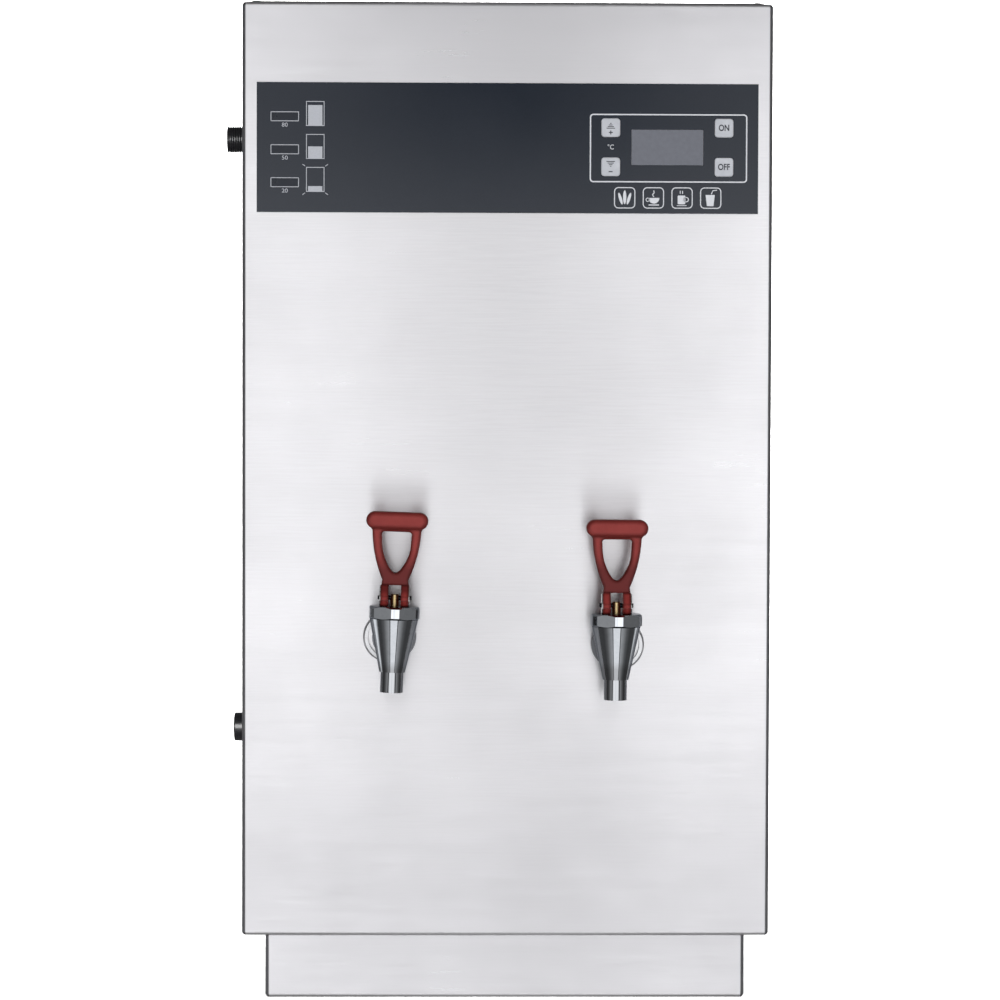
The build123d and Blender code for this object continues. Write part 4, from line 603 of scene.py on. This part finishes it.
def draw_text(print_mesh, words, height, x, z, squeeze=1.0, stroke=0.0):
    """Letters centred on a point, as tall as stated."""
    curve = bpy.data.curves.new("letters", "FONT")
    curve.body = words
    curve.size = height / 0.7
    curve.offset = height * stroke
    curve.align_x = "CENTER"
    curve.align_y = "CENTER"
    holder = bpy.data.objects.new("letters", curve)
    bpy.context.scene.collection.objects.link(holder)
    flat = bpy.data.meshes.new_from_object(holder.evaluated_get(bpy.context.evaluated_depsgraph_get()))
    bpy.data.objects.remove(holder)
    flat.transform(Matrix.Translation((x, z, 0)) @ Matrix.Diagonal((squeeze, 1, 1, 1)))
    print_mesh.from_mesh(flat)
    bpy.data.meshes.remove(flat)


def lay_print(print_mesh, name, surface_y, body, material):
    """Gives flat drawings an ink's thickness, stands them on a front surface and lets them ride."""
    flat = print_mesh.faces[:]
    top = bmesh.ops.extrude_face_region(print_mesh, geom=flat, use_keep_orig=True)["geom"]
    bmesh.ops.translate(
        print_mesh, vec=(0, 0, ink_thickness), verts=[v for v in top if isinstance(v, bmesh.types.BMVert)]
    )
    bmesh.ops.transform(
        print_mesh, matrix=Matrix.Translation((0, surface_y, 0)) @ Matrix.Rotation(pi / 2, 4, "X"),
        verts=print_mesh.verts,
    )
    bmesh.ops.recalc_face_normals(print_mesh, faces=print_mesh.faces)
    piece = bpy.data.objects.new(name, bpy.data.meshes.new(name))
    print_mesh.to_mesh(piece.data)
    print_mesh.free()
    piece.data.materials.append(material)
    bpy.context.scene.collection.objects.link(piece)
    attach(piece, body)
    return piece


key_frame_width = 0.1187
key_frame_height = 0.0514
key_frame_corner = 0.0026
key_frame_line = 0.00095
frame_print = bmesh.new()
draw_rounded(
    frame_print, key_frame_width, key_frame_height, key_frame_corner, keypad_x + 0.0009, keypad_z - 0.0006,
    line=key_frame_line,
)
draw_text(frame_print, "°C", 0.0036, keypad_x - 0.0427, keypad_z, 0.9)
lay_print(frame_print, "keypad_frame_print", fascia_front, "cabinet", white_ink)

gauge_print = bmesh.new()
tank_sign_x = window_x + 0.0229
tank_sign_width = 0.0138
tank_sign_height = 0.0186
tank_sign_rise = 0.0022  # over the middle of its window
number_drop = 0.0064
gauge_line = 0.00055
for window_z, level_share, words in zip(window_zs, (0.84, 0.50, 0.23), ("80", "50", "20")):
    sign_z = window_z + tank_sign_rise
    draw_rounded(gauge_print, 0.0213, window_height, 0.0006, window_x, window_z, line=gauge_line)
    draw_text(gauge_print, words, 0.0030, window_x, window_z - number_drop, 1.1)
    draw_rounded(gauge_print, tank_sign_width, tank_sign_height, 0.0, tank_sign_x, sign_z, line=gauge_line)
    fill = tank_sign_height * level_share - gauge_line
    fill_z = sign_z - tank_sign_height / 2 + gauge_line + fill / 2
    draw_rounded(gauge_print, 0.0107, fill, 0.0, tank_sign_x, fill_z)
for side in (-1, 1):
    for end in (-1, 1):
        tick_x = tank_sign_x + side * tank_sign_width / 2
        tick_z = window_zs[2] + tank_sign_rise + end * tank_sign_height / 2
        draw_bar(
            gauge_print, (tick_x + side * 0.0007, tick_z + end * 0.0007),
            (tick_x + side * 0.0027, tick_z + end * 0.0021), 0.0005,
        )
lay_print(gauge_print, "level_gauge_print", fascia_front, "cabinet", ink)

sign_print = bmesh.new()
sign_size = 0.0160
sign_corner = 0.0033
sign_line = 0.0007
sign_pitch = 0.02163
sign_z = keypad_z - 0.0379
sign_xs = [keypad_x - 0.0320 + i * sign_pitch for i in range(4)]
for sign_x in sign_xs:
    draw_rounded(sign_print, sign_size, sign_size, sign_corner, sign_x, sign_z, line=sign_line)
# leaf: one blade between two that lean outwards
draw_disc(sign_print, 0.0052, sign_xs[0], sign_z + 0.0004, (0.24, 1.0))
for side in (-1, 1):
    draw_disc(sign_print, 0.0046, sign_xs[0] + side * 0.0032, sign_z - 0.0006, (0.24, 1.0), turn=-side * 0.30)
# cup on its saucer
cup_bowl = bmesh.ops.create_circle(sign_print, cap_ends=True, radius=0.0041, segments=28)["verts"]
bmesh.ops.translate(sign_print, vec=(sign_xs[1] + 0.0004, sign_z - 0.0002, 0), verts=cup_bowl)
bmesh.ops.bisect_plane(
    sign_print, geom=[*cup_bowl, *cup_bowl[0].link_faces, *cup_bowl[0].link_faces[0].edges], dist=0.00001,
    plane_co=(0, sign_z, 0), plane_no=(0, 1, 0), clear_outer=True,
)
draw_disc(sign_print, 0.0015, sign_xs[1] - 0.0043, sign_z - 0.0014, line=0.0005)
draw_bar(sign_print, (sign_xs[1] - 0.0035, sign_z - 0.0053), (sign_xs[1] + 0.0043, sign_z - 0.0053), 0.0008)
for start, end in (((0.0004, 0.0008), (-0.0008, 0.0024)), ((-0.0008, 0.0024), (0.0006, 0.0038)),
                   ((0.0006, 0.0038), (0.0002, 0.0056))):
    draw_bar(
        sign_print, (sign_xs[1] + start[0], sign_z + start[1]), (sign_xs[1] + end[0], sign_z + end[1]), 0.0007
    )
# mug on a coaster
draw_rounded(sign_print, 0.0058, 0.0066, 0.0009, sign_xs[2] - 0.0004, sign_z - 0.0014)
draw_disc(sign_print, 0.0020, sign_xs[2] + 0.0031, sign_z - 0.0012, line=0.0006)
draw_bar(sign_print, (sign_xs[2] - 0.0040, sign_z - 0.0057), (sign_xs[2] + 0.0034, sign_z - 0.0057), 0.0005)
for lean in (-0.0014, 0.0004):
    draw_bar(sign_print, (sign_xs[2] + lean, sign_z + 0.0032), (sign_xs[2] + lean, sign_z + 0.0054), 0.0006)
# tapered tumbler with a bent straw
tumbler = bmesh.ops.create_grid(sign_print, x_segments=1, y_segments=1, size=0.5)["verts"]
for corner in tumbler:
    half = 0.0035 if corner.co.y > 0 else 0.0025
    corner.co = Vector((sign_xs[3] - 0.0004 + (half if corner.co.x > 0 else -half),
                        sign_z + (0.0024 if corner.co.y > 0 else -0.0060), 0.0))
draw_bar(sign_print, (sign_xs[3] + 0.0004, sign_z + 0.0029), (sign_xs[3] + 0.0016, sign_z + 0.0056), 0.0006)
draw_bar(sign_print, (sign_xs[3] + 0.0014, sign_z + 0.0056), (sign_xs[3] + 0.0048, sign_z + 0.0060), 0.0006)
lay_print(sign_print, "drink_signs_print", fascia_front, "cabinet", white_ink)

# ---------------------------------------------------------------- keys
# Four pale moulded caps with dark printed signs: a striped arrow with plus or minus on the left pair, ON and
# OFF on the right pair. Each print rides on its own cap.
cap_finish, cap_tree, cap_shader = new_finish("pale_key_cap", Specular_IOR_Level=0.35)
cap_speck = use_effect(cap_tree, haze_effect, Scale=1800.0)
cap_haze = use_effect(cap_tree, haze_effect, Scale=150.0)
cap_edge = use_effect(cap_tree, edge_effect, Radius=0.0005)
cap_colour = mix_colours(cap_tree, cap_haze.outputs["Haze"], (0.42, 0.435, 0.47), (0.50, 0.515, 0.55))
wire(
    cap_tree,
    (mix_colours(cap_tree, cap_edge.outputs["Edge"], cap_colour, (0.26, 0.27, 0.30)),
     cap_shader.inputs["Base Color"]),
    (spread_value(cap_tree, cap_speck.outputs["Haze"], 0.40, 0.55), cap_shader.inputs["Roughness"]),
)
coat(cap_finish, "key_plus", "key_minus", "key_on", "key_off")

legend = hazed_finish(
    "dark_legend_ink", 900.0, (0.030, 0.032, 0.040), (0.060, 0.063, 0.072), (0.45, 0.6), Specular_IOR_Level=0.3,
)
stripe_pitch = 0.0012
stripe_thickness = 0.00062
for cap in ("plus", "minus", "on", "off"):
    cap_low, cap_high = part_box(f"key_{cap}")
    cap_x, cap_z = (cap_low.x + cap_high.x) / 2, (cap_low.z + cap_high.z) / 2
    cap_print = bmesh.new()
    if cap in ("on", "off"):
        draw_text(cap_print, cap.upper(), 0.0045, cap_x, cap_z, squeeze=0.80, stroke=0.035)
    else:
        way, base_z = (1, cap_z - 0.0004) if cap == "plus" else (-1, cap_z + 0.0040)
        for step, bar_width in enumerate((0.0064, 0.0046, 0.0028, 0.0011)):
            bar_z = base_z + way * stripe_pitch * step
            reach = bar_width / 2
            draw_bar(cap_print, (cap_x - reach, bar_z), (cap_x + reach, bar_z), stripe_thickness)
        mark_z = cap_z - 0.0036
        draw_bar(cap_print, (cap_x - 0.0015, mark_z), (cap_x + 0.0015, mark_z), 0.0008)
        if cap == "plus":
            draw_bar(cap_print, (cap_x, mark_z - 0.0015), (cap_x, mark_z - 0.0004), 0.0008)
            draw_bar(cap_print, (cap_x, mark_z + 0.0004), (cap_x, mark_z + 0.0015), 0.0008)
    lay_print(cap_print, f"key_{cap}_print", cap_low.y, f"{cap}_key", legend)

# ---------------------------------------------------------------- taps
# Cast brass bodies and bonnets, polished and chrome plated; loose plated rings cover the holes in the sheet.
# The plating has fine polishing lines round the body and a faint mottle. Painted shade darkens it towards the
# panel and on the backs, and greys it at the spouts' ends.
chrome, chrome_tree, chrome_shader = new_finish(
    "polished_chrome", Metallic=1.0, Specular_Tint=(0.25, 0.26, 0.28, 1.0)
)
chrome_spots = use_effect(chrome_tree, haze_effect, Scale=260.0)
chrome_grain = use_effect(chrome_tree, grain_effect, Stretch=(500.0, 500.0, 3000.0))
chrome_y = axis_of(chrome_tree, "ShaderNodeTexCoord", "Object", "Y")
chrome_z = axis_of(chrome_tree, "ShaderNodeTexCoord", "Object", "Z")
chrome_back = axis_of(chrome_tree, "ShaderNodeNewGeometry", "Normal", "Y")
near_panel = (-0.192, -0.186)
spout_ends = (0.263, 0.257)
# painted shade: darker towards the panel and on faces turned to it
rear_share = math_node(
    chrome_tree, "MAXIMUM", span_mask(chrome_tree, chrome_y, *near_panel),
    span_mask(chrome_tree, chrome_back, 0.15, 0.45),
)
chrome_colour = mix_colours(chrome_tree, chrome_spots.outputs["Haze"], (0.43, 0.45, 0.47), (0.48, 0.50, 0.52))
chrome_gloss = spread_value(chrome_tree, chrome_spots.outputs["Haze"], 0.03, 0.06)
# painted shade: greyer at the spouts' ends
end_share = span_mask(chrome_tree, chrome_z, *spout_ends)
spout_colour = mix_colours(chrome_tree, end_share, chrome_colour, (0.325, 0.335, 0.345))
wire(
    chrome_tree,
    (mix_colours(chrome_tree, rear_share, spout_colour, (0.16, 0.165, 0.175)),
     chrome_shader.inputs["Base Color"]),
    (math_node(chrome_tree, "ADD", chrome_gloss, math_node(chrome_tree, "MULTIPLY", rear_share, 0.28)),
     chrome_shader.inputs["Roughness"]),
)
raise_surface(chrome_tree, chrome_shader, chrome_grain.outputs["Height"], 0.03, 0.00001)
coat(chrome, "left_tap_body", "right_tap_body", "left_tap_bonnet", "right_tap_bonnet")
nickel = hazed_finish(
    "dull_nickel_ring", 180.0, (0.72, 0.725, 0.735), (0.84, 0.845, 0.855), (0.34, 0.44), Metallic=1.0,
)
coat(nickel, "tap_rings")

# ---------------------------------------------------------------- tap stems, springs and nuts
# Turned brass stems with a dull skin show in the levers' slots; brass locknuts and bright drawn springs sit
# out of sight.
brass, brass_tree, brass_shader = new_finish("turned_brass", Metallic=1.0)
brass_haze = use_effect(brass_tree, haze_effect, Scale=300.0)
brass_grain = use_effect(brass_tree, grain_effect, Stretch=(300.0, 300.0, 5000.0))
wire(
    brass_tree,
    (mix_colours(brass_tree, brass_haze.outputs["Haze"], (0.42, 0.31, 0.15), (0.66, 0.52, 0.28)),
     brass_shader.inputs["Base Color"]),
    (spread_value(brass_tree, brass_haze.outputs["Haze"], 0.25, 0.42), brass_shader.inputs["Roughness"]),
)
raise_surface(brass_tree, brass_shader, brass_grain.outputs["Height"], 0.15, 0.00003)
coat(brass, "left_tap_stem", "right_tap_stem", "tap_locknuts", "inlet_valve_body", "earth_stud")

spring_wire = hazed_finish(
    "drawn_spring_wire", 700.0, (0.48, 0.48, 0.48), (0.66, 0.66, 0.67), (0.2, 0.35), Metallic=1.0,
)


def find_joint(name):
    return next(row for row in frame["joints"] if row["name"] == name)


def press_spring(spring):
    """The wound wire as a piece of its own."""
    wound = bmesh.new()
    wound.from_mesh(nodes[spring].data)
    bmesh.ops.remove_doubles(wound, verts=wound.verts, dist=0.000001)
    bmesh.ops.recalc_face_normals(wound, faces=wound.faces)
    for face in wound.faces:
        face.smooth = True
    coil = bpy.data.objects.new(f"{spring}_coil", bpy.data.meshes.new(f"{spring}_coil"))
    wound.to_mesh(coil.data)
    wound.free()
    coil.data.materials.append(spring_wire)
    bpy.context.scene.collection.objects.link(coil)
    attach(coil, "cabinet")
    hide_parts(spring)
    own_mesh(coil)


press_spring("left_tap_spring")
press_spring("right_tap_spring")
press_spring("solenoid_spring")

# ---------------------------------------------------------------- pivot pins
# A black-oxide pin with burred ends crosses each lever's legs, between two thin bright plates that take the
# wear outside them.
pin_radius = 0.0019
for side in ("left", "right"):
    pivot = Vector(find_joint(f"{side}_handle_tilt")["pos_m"])
    pin_finish, pin_tree, pin_shader = new_finish(f"{side}_pin_and_plates", Metallic=1.0)
    pin_place = pin_tree.nodes.new("ShaderNodeTexCoord")
    pin_centred = pin_tree.nodes.new("ShaderNodeMapping")
    pin_centred.inputs["Location"].default_value = -pivot
    pin_axis = pin_tree.nodes.new("ShaderNodeVectorMath")
    pin_axis.operation = "MULTIPLY"
    pin_axis.inputs[1].default_value = (0.0, 1.0, 1.0)
    pin_far = pin_tree.nodes.new("ShaderNodeVectorMath")
    pin_far.operation = "LENGTH"
    wire(
        pin_tree,
        (pin_place.outputs["Object"], pin_centred.inputs["Vector"]),
        (pin_centred.outputs["Vector"], pin_axis.inputs[0]),
        (pin_axis.outputs["Vector"], pin_far.inputs[0]),
    )
    pin_haze = use_effect(pin_tree, haze_effect, Scale=420.0)
    plate_colour = mix_colours(pin_tree, pin_haze.outputs["Haze"], (0.55, 0.55, 0.54), (0.74, 0.74, 0.73))
    plate_share = span_mask(pin_tree, pin_far.outputs["Value"], pin_radius, pin_radius + 0.0001)
    wire(
        pin_tree,
        (mix_colours(pin_tree, plate_share, (0.020, 0.020, 0.022), plate_colour),
         pin_shader.inputs["Base Color"]),
        (spread_value(pin_tree, pin_haze.outputs["Haze"], 0.22, 0.38), pin_shader.inputs["Roughness"]),
    )
    coat(pin_finish, f"{side}_tap_pin_set")

# ---------------------------------------------------------------- levers
# Moulded from dark red thermoset with a satin skin: a grip bar on two arms, over two cam-footed legs. Edges
# and necks are painted darker as shade, and the skin has a fine orange-peel grain.
lever_red, lever_tree, lever_shader = new_finish("dark_red_thermoset", Specular_IOR_Level=0.2)
lever_haze = use_effect(lever_tree, haze_effect, Scale=70.0)
lever_speck = use_effect(lever_tree, haze_effect, Scale=1500.0)
lever_edge = use_effect(lever_tree, edge_effect, Radius=0.0030, Least=0.982)
lever_colour = mix_colours(lever_tree, lever_haze.outputs["Haze"], (0.200, 0.026, 0.023), (0.240, 0.034, 0.030))
lever_z = axis_of(lever_tree, "ShaderNodeTexCoord", "Object", "Z")
neck_top = (0.342, 0.330)
neck_foot = (0.3115, 0.3150)
# painted shade: the lever's neck is darker
neck = math_node(  # the waisted part between the opening and the legs is darker
    lever_tree, "MULTIPLY", span_mask(lever_tree, lever_z, *neck_top),
    span_mask(lever_tree, lever_z, *neck_foot),
)
lever_skin_colour = mix_colours(lever_tree, neck, lever_colour, (0.105, 0.012, 0.011))
# painted shade: dark rims along the edges
lever_rim = math_node(lever_tree, "MULTIPLY", lever_edge.outputs["Edge"], 0.85)
wire(
    lever_tree,
    (mix_colours(lever_tree, lever_rim, lever_skin_colour, (0.045, 0.005, 0.004)),
     lever_shader.inputs["Base Color"]),
    (spread_value(lever_tree, lever_speck.outputs["Haze"], 0.34, 0.46), lever_shader.inputs["Roughness"]),
)
lever_skin = raise_surface(lever_tree, lever_shader, lever_speck.outputs["Haze"], 0.12, 0.00005)
lever_round = lever_tree.nodes.new("ShaderNodeBevel")
lever_round.samples = 8
lever_round.inputs["Radius"].default_value = 0.0022
lever_tree.links.new(lever_round.outputs["Normal"], lever_skin.inputs["Normal"])
coat(lever_red, "left_tap_handle", "right_tap_handle")

# ---------------------------------------------------------------- silicone
# Milky silicone cups, gaskets, washers and hoses, slightly dusty.
silicone = hazed_finish(
    "milky_silicone", 160.0, (0.62, 0.60, 0.55), (0.76, 0.74, 0.69), (0.45, 0.62),
    Subsurface_Weight=0.2, Subsurface_Scale=0.002,
)
coat(silicone, "left_tap_cup", "right_tap_cup", "flat_seals", "silicone_hoses", "drain_plug_seal")

# ---------------------------------------------------------------- boiler
# Pickled stainless tank, lid, pipes and probes with a dull even skin; the jacket is foam faced with crinkled
# foil, and the heaters' sheaths are straw and blue from heat.
pickled, pickled_tree, pickled_shader = new_finish("pickled_stainless", Metallic=1.0)
pickled_haze = use_effect(pickled_tree, haze_effect, Scale=30.0)
pickled_speck = use_effect(pickled_tree, haze_effect, Scale=900.0)
wire(
    pickled_tree,
    (mix_colours(pickled_tree, pickled_haze.outputs["Haze"], (0.50, 0.50, 0.49), (0.64, 0.64, 0.63)),
     pickled_shader.inputs["Base Color"]),
    (spread_value(pickled_tree, pickled_speck.outputs["Haze"], 0.34, 0.5), pickled_shader.inputs["Roughness"]),
)
raise_surface(pickled_tree, pickled_shader, pickled_speck.outputs["Haze"], 0.1, 0.00003)
coat(
    pickled, "tank_shell", "tank_lid", "heater_flange", "temperature_probe", "overflow_pipe",
    "solenoid_plunger", "drain_pipe",
)

foil, foil_tree, foil_shader = new_finish("foil_faced_foam", Metallic=0.6)
foil_place = foil_tree.nodes.new("ShaderNodeTexCoord")
foil_crease = foil_tree.nodes.new("ShaderNodeTexVoronoi")
foil_crease.feature = "DISTANCE_TO_EDGE"
foil_crease.inputs["Scale"].default_value = 60.0
foil_haze = use_effect(foil_tree, haze_effect, Scale=50.0)
wire(
    foil_tree,
    (foil_place.outputs["Object"], foil_crease.inputs["Vector"]),
    (mix_colours(foil_tree, foil_haze.outputs["Haze"], (0.50, 0.49, 0.45), (0.68, 0.67, 0.64)),
     foil_shader.inputs["Base Color"]),
    (spread_value(foil_tree, foil_haze.outputs["Haze"], 0.35, 0.55), foil_shader.inputs["Roughness"]),
)
raise_surface(foil_tree, foil_shader, foil_crease.outputs["Distance"], 0.5, 0.002)
coat(foil, "tank_insulation")

sheath = hazed_finish(
    "heat_tinted_sheath", 45.0, (0.17, 0.17, 0.20), (0.38, 0.33, 0.26), (0.32, 0.5), Metallic=1.0,
)
coat(sheath, "heating_element")

ivory, ivory_tree, ivory_shader = new_finish("ivory_moulding")
ivory_speck = use_effect(ivory_tree, haze_effect, Scale=1200.0)
ivory_haze = use_effect(ivory_tree, haze_effect, Scale=60.0)
wire(
    ivory_tree,
    (mix_colours(ivory_tree, ivory_haze.outputs["Haze"], (0.66, 0.64, 0.57), (0.78, 0.76, 0.70)),
     ivory_shader.inputs["Base Color"]),
    (spread_value(ivory_tree, ivory_speck.outputs["Haze"], 0.38, 0.5), ivory_shader.inputs["Roughness"]),
)
coat(ivory, "level_probes", "terminal_block")

# ---------------------------------------------------------------- water inlet, drain plug and cable gland
# Glass-filled black nylon with a fine spark-eroded grain that is greyer where edges are rubbed: the threaded
# inlet, the drain's screw plug, the coil and the cable gland.
nylon, nylon_tree, nylon_shader = new_finish("black_nylon", Specular_IOR_Level=0.35)
nylon_speck = use_effect(nylon_tree, haze_effect, Scale=1600.0)
nylon_haze = use_effect(nylon_tree, haze_effect, Scale=120.0)
nylon_edge = use_effect(nylon_tree, edge_effect, Radius=0.0005)
nylon_mask = math_node(
    nylon_tree, "MAXIMUM", math_node(nylon_tree, "MULTIPLY", nylon_haze.outputs["Haze"], 0.3),
    math_node(nylon_tree, "MULTIPLY", nylon_edge.outputs["Edge"], 0.9),
)
wire(
    nylon_tree,
    (mix_colours(nylon_tree, nylon_mask, (0.010, 0.010, 0.012), (0.040, 0.040, 0.044)),
     nylon_shader.inputs["Base Color"]),
    (spread_value(nylon_tree, nylon_speck.outputs["Haze"], 0.24, 0.34), nylon_shader.inputs["Roughness"]),
)
raise_surface(nylon_tree, nylon_shader, nylon_speck.outputs["Haze"], 0.15, 0.00004)
coat(nylon, "inlet_nipple", "drain_plug", "cable_gland", "solenoid_coil", "display_module", "contactor",
     "thermal_cutout")

# ---------------------------------------------------------------- boards and wiring
# Green circuit boards with faint copper tracks under the mask, and black silicone-sleeved wires.
board_green, board_tree, board_shader = new_finish("green_solder_mask", Coat_Weight=0.4, Coat_Roughness=0.2)
board_place = board_tree.nodes.new("ShaderNodeTexCoord")
board_tracks = board_tree.nodes.new("ShaderNodeTexBrick")
board_tracks.inputs["Scale"].default_value = 220.0
board_tracks.inputs["Mortar Size"].default_value = 0.03
board_tracks.inputs["Color1"].default_value = (0.012, 0.085, 0.035, 1.0)
board_tracks.inputs["Color2"].default_value = (0.016, 0.100, 0.042, 1.0)
board_tracks.inputs["Mortar"].default_value = (0.050, 0.180, 0.070, 1.0)
board_turn = board_tree.nodes.new("ShaderNodeMapping")
board_turn.inputs["Rotation"].default_value = (pi / 2, 0.0, 0.0)
board_haze = use_effect(board_tree, haze_effect, Scale=200.0)
wire(
    board_tree,
    (board_place.outputs["Object"], board_turn.inputs["Vector"]),
    (board_turn.outputs["Vector"], board_tracks.inputs["Vector"]),
    (board_tracks.outputs["Color"], board_shader.inputs["Base Color"]),
    (spread_value(board_tree, board_haze.outputs["Haze"], 0.3, 0.45), board_shader.inputs["Roughness"]),
)
coat(board_green, "control_board", "lamp_board")

sleeve = hazed_finish("black_wire_sleeve", 260.0, (0.020, 0.020, 0.022), (0.045, 0.045, 0.048), (0.5, 0.65))
coat(sleeve, "wiring_loom")

# ---------------------------------------------------------------- reset button
# A small red moulded button that stands out of the rear panel.
button_red, button_tree, button_shader = new_finish("red_button")
button_edge = use_effect(button_tree, edge_effect, Radius=0.0005)
button_haze = use_effect(button_tree, haze_effect, Scale=500.0)
wire(
    button_tree,
    (mix_colours(button_tree, button_edge.outputs["Edge"], (0.42, 0.03, 0.025), (0.55, 0.08, 0.06)),
     button_shader.inputs["Base Color"]),
    (spread_value(button_tree, button_haze.outputs["Haze"], 0.3, 0.42), button_shader.inputs["Roughness"]),
)
coat(button_red, "cutout_reset_button")
